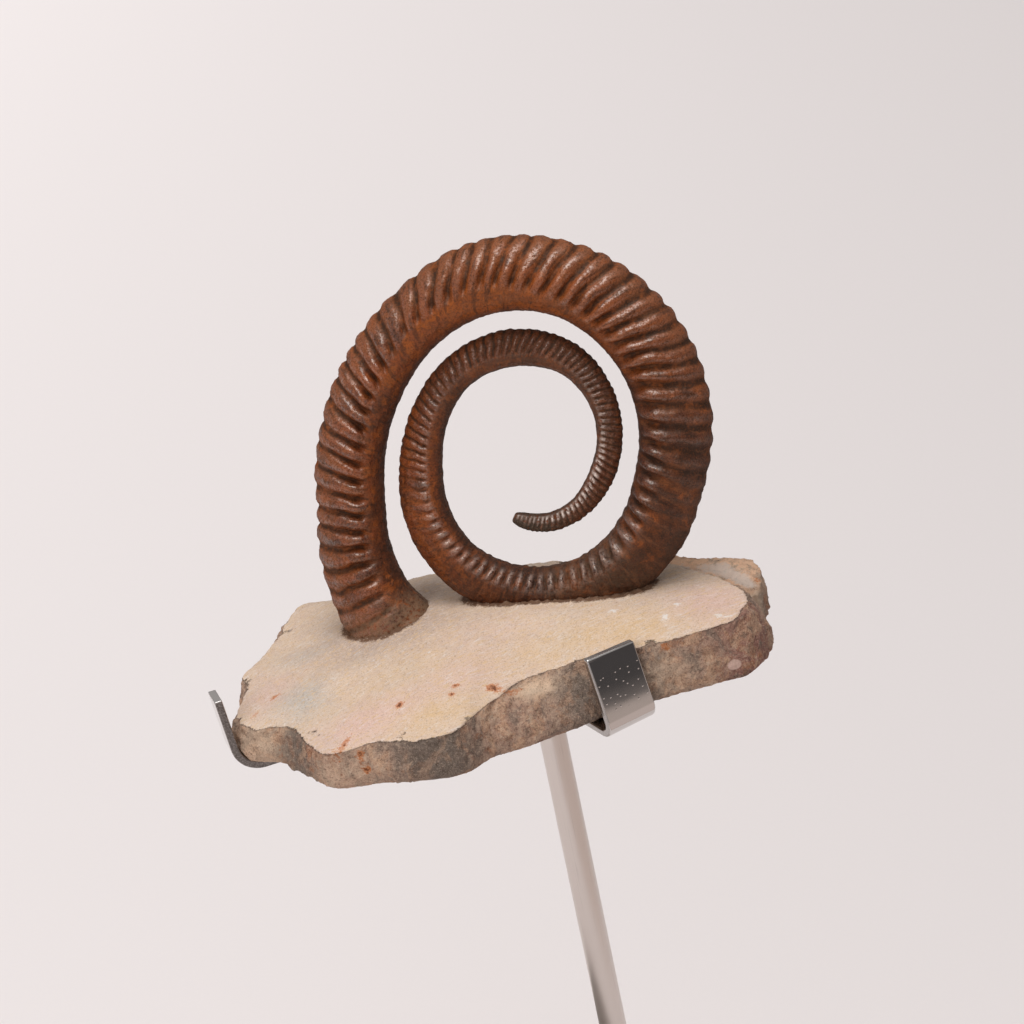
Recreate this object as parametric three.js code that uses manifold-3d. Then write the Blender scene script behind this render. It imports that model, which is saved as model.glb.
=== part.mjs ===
// A fossil ammonite: an open-coiled, ribbed shell that stands on the slab of limestone it was
// freed from, held by the slab's edge in a bent steel display stand.
// Millimetres, +Z up, origin under the centre of the base, front towards -Y.
import * as THREE from 'three';
import { mergeVertices } from 'three/addons/utils/BufferGeometryUtils.js';
import Module from 'manifold-3d';

const wasm = await Module();
wasm.setup();

const { degToRad, lerp, clamp, smoothstep } = THREE.MathUtils;

// Clearance kept between pieces that rest on or sit in one another.
const GAP = 0.3;

// Stand: a round base, a leaning rod, a hub plate and three bent strips that hold the slab.
const BASE_RADIUS = 44;
const BASE_THICK = 10;
const BASE_CHAMFER = 1;
const SMALL_CHAMFER = 0.3;
const ROD_RADIUS = 3.175;
const ROD_LEAN = degToRad(10.36);
const ROD_RISE = 131;
const ROD_FOOT_X = 20;
const ROD_SOCKET = 7;
const HUB_RADIUS = 14;
const HUB_THICK = 2;
const STRIP_THICK = 1.8;
const STRIP_START = 8;
const STRIP_CLEARANCE = 0.28;

// Each strip: the way it points from the hub (degrees), its width, how far out its upright is,
// the height of the tip, the upright's outward lean (degrees), the bend's inner radius, and how
// much higher one corner of the tip is cut than the other.
const CLIPS = [
  { name: 'left_clip', turn: 198, width: 6, reach: 73.6, tip: 17.7, lean: 5, bend: 5.4, skew: 0 },
  {
    name: 'front_clip', turn: 303, width: 12.7, reach: 39.3, tip: 17, lean: -15.5, bend: 2,
    skew: 0.7,
  },
  { name: 'back_clip', turn: 48, width: 6, reach: 35, tip: 11, lean: 2, bend: 2, skew: 0 },
];

// Coil: its plane leans back and is turned a little, its pole stands over the slab.
const COIL_LEAN_BACK = degToRad(14);
const COIL_YAW = degToRad(5);
const COIL_POLE = new THREE.Vector3(7.1, 10.75, 48.9);

// Stations along the shell's centreline, from its small first end to the thick end buried in
// the slab: turn about the pole (degrees), distance from the pole, and radius over the ribs.
const COIL_STATIONS = [
  [247.5, 16.2, 1.2], [254, 16.5, 1.8], [262, 16.9, 2.1], [278, 17.3, 2.3],
  [300, 17.2, 2.5], [330, 17.0, 3.0], [360, 18.2, 3.0], [390, 20.5, 3.3],
  [420, 23.0, 3.9], [450, 23.8, 4.35], [480, 24.0, 4.2], [510, 23.9, 4.4],
  [540, 25.2, 5.0], [565, 28.4, 5.4], [590, 31.6, 5.6], [617, 33.4, 6.1],
  [645, 33.9, 6.9], [675, 33.0, 7.7], [700, 32.1, 8.1], [730, 34.2, 8.6],
  [760, 37.4, 8.8], [790, 40.3, 8.6], [815, 40.8, 8.5], [840, 39.4, 7.7],
  [870, 39.1, 7.8], [900, 41.7, 8.0], [913, 44.0, 8.0], [920, 46.3, 8.2],
  [927, 48.4, 8.5], [935, 50.6, 8.9], [943, 53.1, 9.4], [950, 56.1, 9.8],
];
const COIL_SIDES = 12;
const COIL_FLATTENING = 0.95;
const SMOOTH_TIP = 8;
const SMOOTH_FOOT = 9;
const FOOT_TRIM = 1;
const BED_TRIM = 0.5;
const PATH_STEPS = 900;

// Rib spacing at arc lengths along the shell, the ribs' depth as a share of the radius, and
// how far they sweep back towards the tip on the outer side.
const RIB_PITCH = [
  [0, 1.7], [90, 2.0], [130, 2.6], [165, 3.6], [200, 4.2], [250, 4.0], [285, 3.4], [310, 4.2],
  [360, 4.6],
];
const RIB_DEPTH = 0.11;
const RIB_SWEEP = Math.tan(degToRad(20));

// Slab: points along the rim of its top (x, y, height) and how far the foot of the broken
// side stands out beyond the rim. The top is a low dome between them, and the rings of the
// side each have a share of the height, an inset and a roughness.
const SLAB_CENTRE = new THREE.Vector2(-8, -4);
const SLAB_CROWN = 17.8;
const DOME_POWER = 1.7;
const DOME_RINGS = [0.93, 0.78, 0.55, 0.28];
const SIDE_RINGS = [[0, 2.5, 0], [0.12, 0.4, 0.3], [0.4, -0.3, 0.7], [0.72, 0, 0.5], [1, 0, 0]];
const SLAB_POINTS = 64;
const SLAB_RIM = [
  [-67, -7, 8, 0], [-68, -19, 8, 0], [-64.5, -24, 8.4, 0.8], [-56, -27, 9, 3.5],
  [-51, -36, 9.5, 1.5], [-45.5, -43, 9.8, 0.8], [-35, -42.8, 10.5, 2], [-25.5, -46.5, 11.3, 0.6],
  [-16, -45, 12, 1], [-10.5, -38, 12.3, 3.5], [-1, -29.5, 13, 8.5], [8, -26.8, 13.3, 7.5],
  [17, -24.8, 13.6, 5.5], [26, -24.7, 13.9, 3.5], [34, -23.8, 14.2, 2], [43, -21.8, 14.5, 2],
  [47.5, -20.5, 14.7, 2.5], [50.5, -14, 14.9, 3.5], [50.5, -9, 14.8, 4.2], [47.5, -3, 14.5, 5],
  [41, 6, 13.8, 3], [30, 15, 13.4, 2], [18, 21, 13, 2], [7, 24, 12.8, 2],
  [-7, 26.5, 12.2, 1.5], [-23, 30, 11.2, 1], [-36, 29, 10.5, 1], [-47, 28.5, 9.6, 0.5],
  [-54, 29, 9.2, 0.5], [-58.5, 22, 8.8, 1], [-60, 15, 8.7, 1.5], [-63.5, 8, 8.3, 1.5],
  [-68, 1, 8, 0.5],
];

// The rough lower ledge at the slab's back right, in the same terms.
const LEDGE_CENTRE = new THREE.Vector2(38, 6);
const LEDGE_CROWN = 12.6;
const LEDGE_BOTTOM = 0.8;
const LEDGE_POINTS = 27;
const LEDGE_RIM = [
  [51.5, -3, 10.6, 0.5], [53.2, 0, 11, 0.5], [53, 5, 11, 0.5], [48.5, 11, 11, 1],
  [41, 15.5, 11.2, 1], [33, 19.5, 11.5, 1], [22, 22, 11.5, 0.5], [20, 8, 11.5, 0],
  [36, -6, 11.5, 0],
];

/** The smooth curve through a list of points, open or closed. */
function curveThrough(points, closed = false) {
  return new THREE.CatmullRomCurve3(points.map((p) => new THREE.Vector3(...p)), closed);
}

/** The value at x on a broken line of [x, value] corners. */
function along(corners, x) {
  const next = corners.findIndex(([at]) => at > x);
  if (next < 0) return corners.at(-1)[1];
  if (next === 0) return corners[0][1];
  const [x0, y0] = corners[next - 1];
  const [x1, y1] = corners[next];
  return lerp(y0, y1, (x - x0) / (x1 - x0));
}

/** A closed surface of rings with equal counts of points, each end closed by a fan. */
function loft(rings, startPoint, endPoint) {
  const count = rings[0].length;
  const positions = [...rings.flat(), startPoint, endPoint].flatMap((p) => p.toArray());
  const start = rings.length * count;
  const index = [];
  for (let j = 0; j < count; j += 1) {
    const k = (j + 1) % count;
    for (let i = 0; i + 1 < rings.length; i += 1) {
      const [a, b] = [i * count, (i + 1) * count];
      index.push(a + j, a + k, b + k, a + j, b + k, b + j);
    }
    const last = (rings.length - 1) * count;
    index.push(start, k, j, start + 1, last + j, last + k);
  }
  const geometry = new THREE.BufferGeometry();
  geometry.setAttribute('position', new THREE.Float32BufferAttribute(positions, 3));
  geometry.setIndex(index);
  geometry.computeVertexNormals();
  return geometry;
}

/** The solid of a closed geometry, for cutting and joining. */
function solidOf(geometry) {
  const bare = geometry.clone();
  bare.deleteAttribute('normal');
  bare.deleteAttribute('uv');
  const merged = mergeVertices(bare, 1e-4);
  return new wasm.Manifold(new wasm.Mesh({
    numProp: 3,
    vertProperties: new Float32Array(merged.attributes.position.array),
    triVerts: new Uint32Array(merged.index.array),
  }));
}

/** The geometry of a solid. */
function geometryOf(solid) {
  const mesh = solid.getMesh();
  const geometry = new THREE.BufferGeometry();
  geometry.setAttribute('position', new THREE.BufferAttribute(mesh.vertProperties, 3));
  geometry.setIndex(new THREE.BufferAttribute(mesh.triVerts, 1));
  geometry.computeVertexNormals();
  return geometry;
}

/** A named mesh with a plain material. */
function piece(name, geometry, color, roughness, metalness) {
  const material = new THREE.MeshStandardMaterial({ color, roughness, metalness });
  const mesh = new THREE.Mesh(geometry, material);
  mesh.name = name;
  return mesh;
}

const shellPiece = (name, geometry) => piece(name, geometry, 0x74432f, 0.45, 0);
const stonePiece = (name, geometry) => piece(name, geometry, 0xd2bba6, 0.85, 0);
const steelPiece = (name, geometry) => piece(name, geometry, 0xb9b4af, 0.25, 1);

/** The shell's centreline: position, outward direction and radius at an arc length. */
class ShellPath {
  constructor(stations, steps) {
    const curve = curveThrough(stations);
    this.samples = [];
    for (let i = 0; i <= steps; i += 1) {
      const station = curve.getPoint(i / steps);
      const turn = degToRad(station.x);
      const point = new THREE.Vector3(Math.cos(turn), 0, Math.sin(turn)).multiplyScalar(station.y);
      const before = this.samples.at(-1);
      const arc = before ? before.arc + point.distanceTo(before.point) : 0;
      this.samples.push({ arc, point, radius: station.z });
    }
    this.length = this.samples.at(-1).arc;
  }

  at(arc) {
    const found = this.samples.findIndex((sample) => sample.arc > arc);
    const upper = clamp(found < 0 ? this.samples.length - 1 : found, 1, this.samples.length - 1);
    const [a, b] = [this.samples[upper - 1], this.samples[upper]];
    const share = (arc - a.arc) / (b.arc - a.arc);
    const tangent = b.point.clone().sub(a.point).normalize();
    return {
      point: a.point.clone().lerp(b.point, share),
      outward: new THREE.Vector3(tangent.z, 0, -tangent.x),
      radius: lerp(a.radius, b.radius, share),
    };
  }
}

const shellPath = new ShellPath(COIL_STATIONS, PATH_STEPS);

/** How strong a rib is at an angle round the shell: full outside, gone on the inner side. */
function ribStrength(angle) {
  return smoothstep(Math.cos(angle), -0.85, -0.1);
}

/** One ring round the shell, swept with the ribs; groove is the share cut below the crest. */
function shellRing(arc, groove, swell = 0, squeeze = 1) {
  const ends = clamp(Math.min(arc, shellPath.length - arc) / SMOOTH_FOOT, 0, 1);
  const ring = [];
  for (let j = 0; j < COIL_SIDES; j += 1) {
    const angle = (j / COIL_SIDES) * 2 * Math.PI;
    const here = shellPath.at(arc);
    const swept = shellPath.at(arc - RIB_SWEEP * here.radius * Math.cos(angle) * ends);
    const radius = squeeze * swept.radius * (1 - groove * ribStrength(angle)) + swell;
    ring.push(swept.point.clone()
      .addScaledVector(swept.outward, radius * Math.cos(angle))
      .add(new THREE.Vector3(0, radius * COIL_FLATTENING * Math.sin(angle), 0)));
  }
  return ring;
}

/** Arc lengths of the rib crests, from the smooth tip to the smooth foot. */
function ribCrests() {
  const crests = [];
  let arc = SMOOTH_TIP;
  while (arc < shellPath.length - SMOOTH_FOOT) {
    crests.push(arc);
    arc += along(RIB_PITCH, arc);
  }
  return crests;
}

/** The ribbed shell in its own plane. */
function ribbedShell() {
  const crests = ribCrests();
  const tipRadius = shellPath.at(0).radius;
  const rings = [shellRing(0, 0, 0, 0.5), shellRing(0.3 * tipRadius, 0, 0, 0.85)];
  for (let arc = tipRadius; arc < SMOOTH_TIP - 1; arc += 2) rings.push(shellRing(arc, 0));
  crests.forEach((crest, i) => {
    const next = crests[i + 1] ?? crest + along(RIB_PITCH, crest);
    rings.push(shellRing(crest, 0), shellRing((crest + next) / 2, RIB_DEPTH));
  });
  const end = shellPath.length - FOOT_TRIM;
  rings.push(shellRing(end - 3, 0), shellRing(end, 0));
  return loft(rings, shellPath.at(0).point, shellPath.at(end).point);
}

/** The shell's bed: the same sweep without grooves and a little fatter, to cut the slab. */
function shellBed() {
  const end = shellPath.length - BED_TRIM;
  const rings = [0, ...ribCrests(), end - 3, end].map((arc) => shellRing(arc, 0, GAP));
  return loft(rings, shellPath.at(0).point, shellPath.at(end).point);
}

/** A stone with a domed top: rings from the underside, up the broken side and over the top. */
function stone(rim, centre, crown, bottom, count) {
  const crest = curveThrough(rim.map(([x, y, height]) => [x, y, height]), true);
  const spread = curveThrough(rim.map(([, , , out]) => [out, 0, 0]), true);
  const around = Array.from({ length: count }, (_, i) => {
    const point = crest.getPoint(i / count);
    const reach = new THREE.Vector2(point.x - centre.x, point.y - centre.y);
    return { reach, height: point.z, out: spread.getPoint(i / count).x };
  });
  const place = ({ reach }, length, z) => {
    const flat = reach.clone().setLength(length).add(centre);
    return new THREE.Vector3(flat.x, flat.y, z);
  };
  const sideRing = ([share, inset, crag]) => around.map((edge, i) => {
    const rough = crag * Math.sin(2.3 * i) * Math.cos(1.1 * i + 1);
    const length = edge.reach.length() + edge.out * (1 - share ** 2) - inset + rough;
    return place(edge, length, lerp(bottom, edge.height, share));
  });
  const topRing = (share) => around.map((edge) => {
    const height = crown - (crown - edge.height) * share ** DOME_POWER;
    return place(edge, edge.reach.length() * share, height);
  });
  const rings = [...SIDE_RINGS.map(sideRing), ...DOME_RINGS.map(topRing)];
  const axis = (z) => new THREE.Vector3(centre.x, centre.y, z);
  return loft(rings, axis(bottom), axis(crown));
}

/**
 * A strip that runs out from the hub along +X, under the slab, and bends up at its edge.
 * A swell makes it fatter all over, to clear its place in the slab.
 */
function bentStrip({ width, reach, tip, lean, bend, skew }, swell = 0) {
  const slope = degToRad(90 - lean);
  const inner = bend - swell;
  const outer = bend + STRIP_THICK + swell;
  const underside = -GAP - STRIP_THICK - swell;
  const centre = new THREE.Vector2(reach - STRIP_THICK - bend, bend - GAP);
  const side = (radius) => new THREE.Vector2(Math.sin(slope), -Math.cos(slope))
    .multiplyScalar(radius).add(centre);
  const up = (from) => from.clone()
    .addScaledVector(new THREE.Vector2(Math.cos(slope), Math.sin(slope)),
      (tip - from.y) / Math.sin(slope));
  const endAngle = slope - Math.PI / 2;
  const outerTip = up(side(outer));
  const innerTip = up(side(inner));
  const profile = new THREE.Shape();
  profile.moveTo(STRIP_START, underside);
  profile.lineTo(centre.x, underside);
  profile.absarc(centre.x, centre.y, outer, -Math.PI / 2, endAngle, false);
  profile.lineTo(outerTip.x, outerTip.y);
  profile.lineTo(innerTip.x, innerTip.y);
  profile.absarc(centre.x, centre.y, inner, endAngle, -Math.PI / 2, true);
  profile.lineTo(STRIP_START, swell - GAP);
  profile.closePath();
  const depth = width + 2 * swell;
  const strip = new THREE.ExtrudeGeometry(profile, { depth, bevelEnabled: false, curveSegments: 8 });
  strip.translate(0, 0, -depth / 2).rotateX(Math.PI / 2);
  const corners = strip.attributes.position;
  for (let i = 0; i < corners.count; i += 1) {
    const height = corners.getZ(i);
    if (height > tip - STRIP_THICK) corners.setZ(i, height - skew * corners.getY(i) / width);
  }
  return strip;
}

/** A plain turned piece standing on z = 0: radius, height and the chamfer of both rims. */
function turned(radius, height, chamfer, segments) {
  const profile = [
    [0, 0], [radius - chamfer, 0], [radius, chamfer],
    [radius, height - chamfer], [radius - chamfer, height], [0, height],
  ].map(([x, y]) => new THREE.Vector2(x, y));
  return new THREE.LatheGeometry(profile, segments).rotateX(Math.PI / 2);
}

const hubUnderside = -GAP - STRIP_THICK - GAP - HUB_THICK;
const rodTop = hubUnderside - GAP;

// Everything above the base leans with the rod: its group has its origin where the rod's
// axis meets the underside of the slab.
const leaning = new THREE.Group();
leaning.rotation.y = -ROD_LEAN;
leaning.position.set(
  ROD_FOOT_X - ROD_RISE * Math.sin(ROD_LEAN),
  0,
  BASE_THICK + ROD_RISE * Math.cos(ROD_LEAN),
);

const coilYaw = new THREE.Group();
coilYaw.position.copy(COIL_POLE);
coilYaw.rotation.z = -COIL_YAW;
const coil = shellPiece('ammonite_coil', ribbedShell());
coil.rotation.x = -COIL_LEAN_BACK;
coilYaw.add(coil);
leaning.add(coilYaw);
coilYaw.updateMatrix();
coil.updateMatrix();

const bed = solidOf(shellBed().applyMatrix4(coilYaw.matrix.clone().multiply(coil.matrix)));
const block = solidOf(stone(SLAB_RIM, SLAB_CENTRE, SLAB_CROWN, 0, SLAB_POINTS));
const ledge = solidOf(
  stone(LEDGE_RIM, LEDGE_CENTRE, LEDGE_CROWN, LEDGE_BOTTOM, LEDGE_POINTS),
);
let slab = block.add(ledge).subtract(bed);
for (const clip of CLIPS) {
  const strip = steelPiece(clip.name, bentStrip(clip));
  strip.rotation.z = degToRad(clip.turn);
  leaning.add(strip);
  slab = slab.subtract(solidOf(bentStrip(clip, STRIP_CLEARANCE).rotateZ(strip.rotation.z)));
}
leaning.add(stonePiece('matrix_slab', geometryOf(slab)));

const hub = steelPiece('hub_disc', turned(HUB_RADIUS, HUB_THICK, SMALL_CHAMFER, 24));
hub.position.z = hubUnderside;
leaning.add(hub);

const rodLength = ROD_RISE + rodTop + ROD_SOCKET;
const rod = steelPiece('rod', turned(ROD_RADIUS, rodLength, SMALL_CHAMFER, 20));
rod.position.z = rodTop - rodLength;
leaning.add(rod);
leaning.updateMatrix();

const socket = turned(ROD_RADIUS + GAP, rodLength, SMALL_CHAMFER, 20)
  .translate(0, 0, rodTop - rodLength - GAP)
  .applyMatrix4(leaning.matrix);
const disc = turned(BASE_RADIUS, BASE_THICK, BASE_CHAMFER, 48);
const base = steelPiece('base_disc', geometryOf(solidOf(disc).subtract(solidOf(socket))));

const group = new THREE.Group();
group.add(base, leaning);

export default group;
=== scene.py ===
"""A fossil ammonite: an open-coiled, ribbed shell that stands on the slab of limestone it was
freed from, held by the slab's edge in a bent steel display stand."""
import itertools
import logging
import math
from dataclasses import dataclass, field
from enum import Enum
from typing import Any, Sequence

import bmesh
import bpy
import numpy as np
from mathutils import Matrix, Vector


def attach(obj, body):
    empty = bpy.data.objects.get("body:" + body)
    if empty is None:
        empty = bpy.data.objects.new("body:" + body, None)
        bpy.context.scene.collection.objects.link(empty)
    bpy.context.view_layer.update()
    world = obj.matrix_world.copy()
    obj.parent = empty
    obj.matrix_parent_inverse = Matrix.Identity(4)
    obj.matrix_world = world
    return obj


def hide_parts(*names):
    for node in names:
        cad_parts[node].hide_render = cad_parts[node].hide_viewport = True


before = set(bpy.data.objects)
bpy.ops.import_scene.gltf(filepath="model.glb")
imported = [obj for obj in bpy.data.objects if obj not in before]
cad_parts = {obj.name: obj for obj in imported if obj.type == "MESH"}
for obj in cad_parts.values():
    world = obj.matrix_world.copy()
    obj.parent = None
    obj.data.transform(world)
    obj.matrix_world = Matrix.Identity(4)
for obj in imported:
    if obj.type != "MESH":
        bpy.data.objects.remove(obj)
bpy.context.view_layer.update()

MM = 0.001
TINY = 1e-4
BODY = "root"

Array = np.ndarray
Span = tuple[float, float]
Corners = Sequence[Span]
Colour = tuple[float, float, float, float]
Marks = dict[str, Array]
Setting = dict[str, Any]

log = logging.getLogger("fossil ammonite")


# Numbers ------------------------------------------------------------------------------------


def along(corners: Corners, x: Any) -> Any:
    """The value at x on a broken line of (x, value) corners."""
    return np.interp(x, [corner[0] for corner in corners], [corner[1] for corner in corners])


def rise(low: float, high: float, x: Any) -> Any:
    """A smooth step from 0 at low to 1 at high, whichever of the two is the larger."""
    share = np.clip((np.asarray(x, float) - low) / (high - low), 0, 1)
    return share * share * (3 - 2 * share)


def through(points: Sequence[Sequence[float]], shares: Array, closed: bool = False) -> Array:
    """Points on the smooth curve through a list of points, with its speed eased by distance.

    Args:
        points: the points that the curve passes through.
        shares: how far along the list each answer is, from 0 to 1.
        closed: whether the curve comes back to its first point.

    Returns:
        One row for each share.
    """
    given = np.asarray(points, float)
    count = len(given)
    spans = count if closed else count - 1
    if closed:
        knots = np.vstack([given[-1:], given, given[:2]])
    else:
        knots = np.vstack([2 * given[:1] - given[1:2], given, 2 * given[-1:] - given[-2:-1]])
    place = np.asarray(shares, float) * spans
    span = np.minimum(place.astype(int), spans - 1)
    part = (place - span)[:, None]
    p0, p1, p2, p3 = (knots[span + k] for k in range(4))
    # The square root of each distance, so that the curve makes no loop at close points.
    gap = [np.maximum(((b - a) ** 2).sum(1) ** 0.25, TINY)[:, None]
           for a, b in ((p0, p1), (p1, p2), (p2, p3))]
    start = ((p1 - p0) / gap[0] - (p2 - p0) / (gap[0] + gap[1]) + (p2 - p1) / gap[1]) * gap[1]
    end = ((p2 - p1) / gap[1] - (p3 - p1) / (gap[1] + gap[2]) + (p3 - p2) / gap[2]) * gap[1]
    bend = 3 * (p2 - p1) - 2 * start - end
    twist = 2 * (p1 - p2) + start + end
    return p1 + part * (start + part * (bend + part * twist))


class Noise:
    """Smooth lumpy noise in space, about -1 to 1, the same on every run."""

    lattice: int = 256
    gain: float = 1.5

    def __init__(self, seed: int) -> None:
        """Shuffle the lattice and draw one slope for each of its corners.

        Args:
            seed: the seed of the random draws.
        """
        draw = np.random.default_rng(seed)
        self.order = draw.permutation(self.lattice)
        slopes = draw.normal(size=(self.lattice, 3))
        self.slopes = slopes / np.linalg.norm(slopes, axis=1)[:, None]

    def at(self, points: Array, size: float) -> Array:
        """The noise at some points.

        Args:
            points: one point a row.
            size: the size of a lump, in the unit of the points.

        Returns:
            One value for each point.
        """
        scaled = points / size
        cell = np.floor(scaled).astype(int)
        part = scaled - cell
        ease = part ** 3 * (part * (part * 6 - 15) + 10)
        total = np.zeros(len(points))
        for corner in itertools.product((0, 1), repeat=3):
            x, y, z = ((cell + corner) % self.lattice).T
            row = self.order[(self.order[x] + y) % self.lattice]
            slope = self.slopes[self.order[(row + z) % self.lattice]]
            weight = np.where(corner, ease, 1 - ease).prod(axis=1)
            total += weight * (slope * (part - corner)).sum(axis=1)
        return self.gain * total

    def layered(self, points: Array, size: float, layers: int) -> Array:
        """The noise with finer layers added, each half as large and half as strong."""
        return sum(self.at(points, size / 2 ** k) / 2 ** k for k in range(layers))


@dataclass(frozen=True)
class Bumps:
    """Bumps of one size: how large and how high they are, and where their pattern starts."""

    size: float
    layers: int
    height: float = 1.0
    shift: float = 0.0

    def on(self, noise: Noise, points: Array) -> Array:
        """How far each point stands out."""
        return self.height * noise.layered(points + self.shift, self.size, self.layers)


# Meshes -------------------------------------------------------------------------------------


def tube_faces(rings: int, sides: int) -> Array:
    """The four-sided faces of a tube of rings, whose points follow one another.

    Args:
        rings: how many rings the tube has.
        sides: how many points each ring has.

    Returns:
        Four point numbers for each face.
    """
    ring, side = np.meshgrid(np.arange(rings - 1), np.arange(sides), indexing="ij")
    a = (ring * sides + side).ravel()
    b = (ring * sides + (side + 1) % sides).ravel()
    return np.stack([a, b, b + sides, a + sides], axis=1)


def closed_tube(rings: Array, start: Array, end: Array) -> tuple[Array, list[list[int]]]:
    """A closed surface of rings, each end drawn together in one point.

    Args:
        rings: rings by sides by three.
        start: the point that closes the first ring.
        end: the point that closes the last ring.

    Returns:
        The points and the faces.
    """
    count, sides = rings.shape[:2]
    points = np.vstack([rings.reshape(-1, 3), start, end])
    faces = tube_faces(count, sides).tolist()
    first, last = count * sides, (count - 1) * sides
    for side in range(sides):
        after = (side + 1) % sides
        faces.append([first, after, side])
        faces.append([first + 1, last + side, last + after])
    return points, faces


def with_ends(values: Array) -> Array:
    """One value for each point of a closed tube, from those of its rings."""
    return np.concatenate([values.ravel(), [values[0, 0], values[-1, 0]]])


def shade_smooth(mesh: bpy.types.Mesh) -> None:
    """Shade all of a mesh's faces smooth."""
    mesh.polygons.foreach_set("use_smooth", [True] * len(mesh.polygons))


def make_mesh(name: str, points: Array, faces: Sequence[Sequence[int]]) -> bpy.types.Mesh:
    """Make a smooth-shaded mesh.

    Args:
        name: the mesh's name.
        points: its points, in millimetres, one a row.
        faces: the point numbers of each face.

    Returns:
        The mesh.
    """
    mesh = bpy.data.meshes.new(name)
    mesh.from_pydata((np.asarray(points) * MM).tolist(), [], list(faces))
    shade_smooth(mesh)
    mesh.update()
    return mesh


def place(mesh: bpy.types.Mesh, where: Matrix) -> bpy.types.Object:
    """Put a mesh in its place.

    Args:
        mesh: the mesh, in its own frame.
        where: its place in the object's frame.

    Returns:
        The piece, as an object in the scene.
    """
    mesh.transform(where)
    piece = bpy.data.objects.new(mesh.name, mesh)
    bpy.context.scene.collection.objects.link(piece)
    return piece


def vectors_of(items: Any, kind: str) -> Array:
    """The vectors that a mesh keeps at its points.

    Args:
        items: the mesh's points, or its points' normals.
        kind: the name of the vector that each of them holds.

    Returns:
        One vector a row.
    """
    flat = np.empty(len(items) * 3)
    items.foreach_get(kind, flat)
    return flat.reshape(-1, 3)


def points_of(mesh: bpy.types.Mesh) -> Array:
    """A mesh's points, in millimetres, one a row."""
    return vectors_of(mesh.vertices, "co") / MM


def note(mesh: bpy.types.Mesh, marks: Marks) -> None:
    """Keep named numbers at the points of a mesh, for its finish to read.

    Args:
        mesh: the mesh.
        marks: the names, and one number for each point under each name.
    """
    for name, values in marks.items():
        layer = mesh.attributes.new(name, "FLOAT", "POINT")
        layer.data.foreach_set("value", np.asarray(values, np.float32))


def bake_modifiers(piece: bpy.types.Object) -> None:
    """Apply all of a piece's modifiers to its mesh.

    Args:
        piece: the piece, which is given a new mesh of the same name.
    """
    bpy.context.view_layer.update()
    seen = piece.evaluated_get(bpy.context.evaluated_depsgraph_get())
    mesh = bpy.data.meshes.new_from_object(seen)
    piece.modifiers.clear()
    old, piece.data = piece.data, mesh
    name = old.name
    bpy.data.meshes.remove(old)
    mesh.name = name


# The stand's lean, which everything above the base shares -----------------------------------


@dataclass(frozen=True)
class Lean:
    """The leaning rod: where its top is, and the frame that the slab and shell stand in."""

    degrees: float = 10.36
    rise: float = 131.0
    foot_x: float = 20.0
    base_thick: float = 10.0

    @property
    def angle(self) -> float:
        """The lean in radians."""
        return math.radians(self.degrees)

    @property
    def origin(self) -> Vector:
        """Find where the rod's axis meets the slab's underside.

        Returns:
            The place, in metres.
        """
        return MM * Vector((
            self.foot_x - self.rise * math.sin(self.angle),
            0,
            self.base_thick + self.rise * math.cos(self.angle),
        ))

    @property
    def frame(self) -> Matrix:
        """The leaning frame, in the object's own."""
        return Matrix.Translation(self.origin) @ Matrix.Rotation(-self.angle, 4, "Y")


LEAN = Lean()


# Finishes -----------------------------------------------------------------------------------
#
# A finish reads the marks kept at its piece's points and cloudy patterns of several sizes. In
# a mix, over(low, high) says from where to where a pattern or mark comes in, and the number
# that multiplies it is how strongly it covers at most. Sizes and depths are in millimetres.


def tint(red: int, green: int, blue: int) -> Colour:
    """A colour as light, by the sRGB curve.

    Args:
        red: its red display value, 0 to 255.
        green: its green display value.
        blue: its blue display value.

    Returns:
        The colour, opaque.
    """
    def light(value: int) -> float:
        """One display value as light."""
        share = value / 255
        return share / 12.92 if share <= 0.04045 else ((share + 0.055) / 1.055) ** 2.4
    return (light(red), light(green), light(blue), 1.0)


class Wire:
    """A value on its way through a material: arithmetic on it adds Math nodes."""

    def __init__(self, bench: "Bench", socket: bpy.types.NodeSocket) -> None:
        """Hold a socket and the bench that it belongs to."""
        self.bench = bench
        self.socket = socket

    def _join(self, operation: str, first: Any, second: Any) -> "Wire":
        """One Math node on two values."""
        return self.bench.node("ShaderNodeMath", {"operation": operation}, {0: first, 1: second})

    def __add__(self, other: Any) -> "Wire":
        """This value plus another."""
        return self._join("ADD", self, other)

    __radd__ = __add__

    def __sub__(self, other: Any) -> "Wire":
        """This value less another."""
        return self._join("SUBTRACT", self, other)

    def __rsub__(self, other: Any) -> "Wire":
        """Another value less this one."""
        return self._join("SUBTRACT", other, self)

    def __mul__(self, other: Any) -> "Wire":
        """This value times another."""
        return self._join("MULTIPLY", self, other)

    __rmul__ = __mul__

    def over(self, low: float, high: float) -> "Wire":
        """A smooth step from 0 to 1.

        Args:
            low: the value at which it leaves 0.
            high: the value at which it reaches 1, which may be the smaller of the two.

        Returns:
            The step.
        """
        return self.bench.node(
            "ShaderNodeMapRange", {"interpolation_type": "SMOOTHSTEP"},
            {"Value": self, "From Min": low, "From Max": high},
        )


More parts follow.
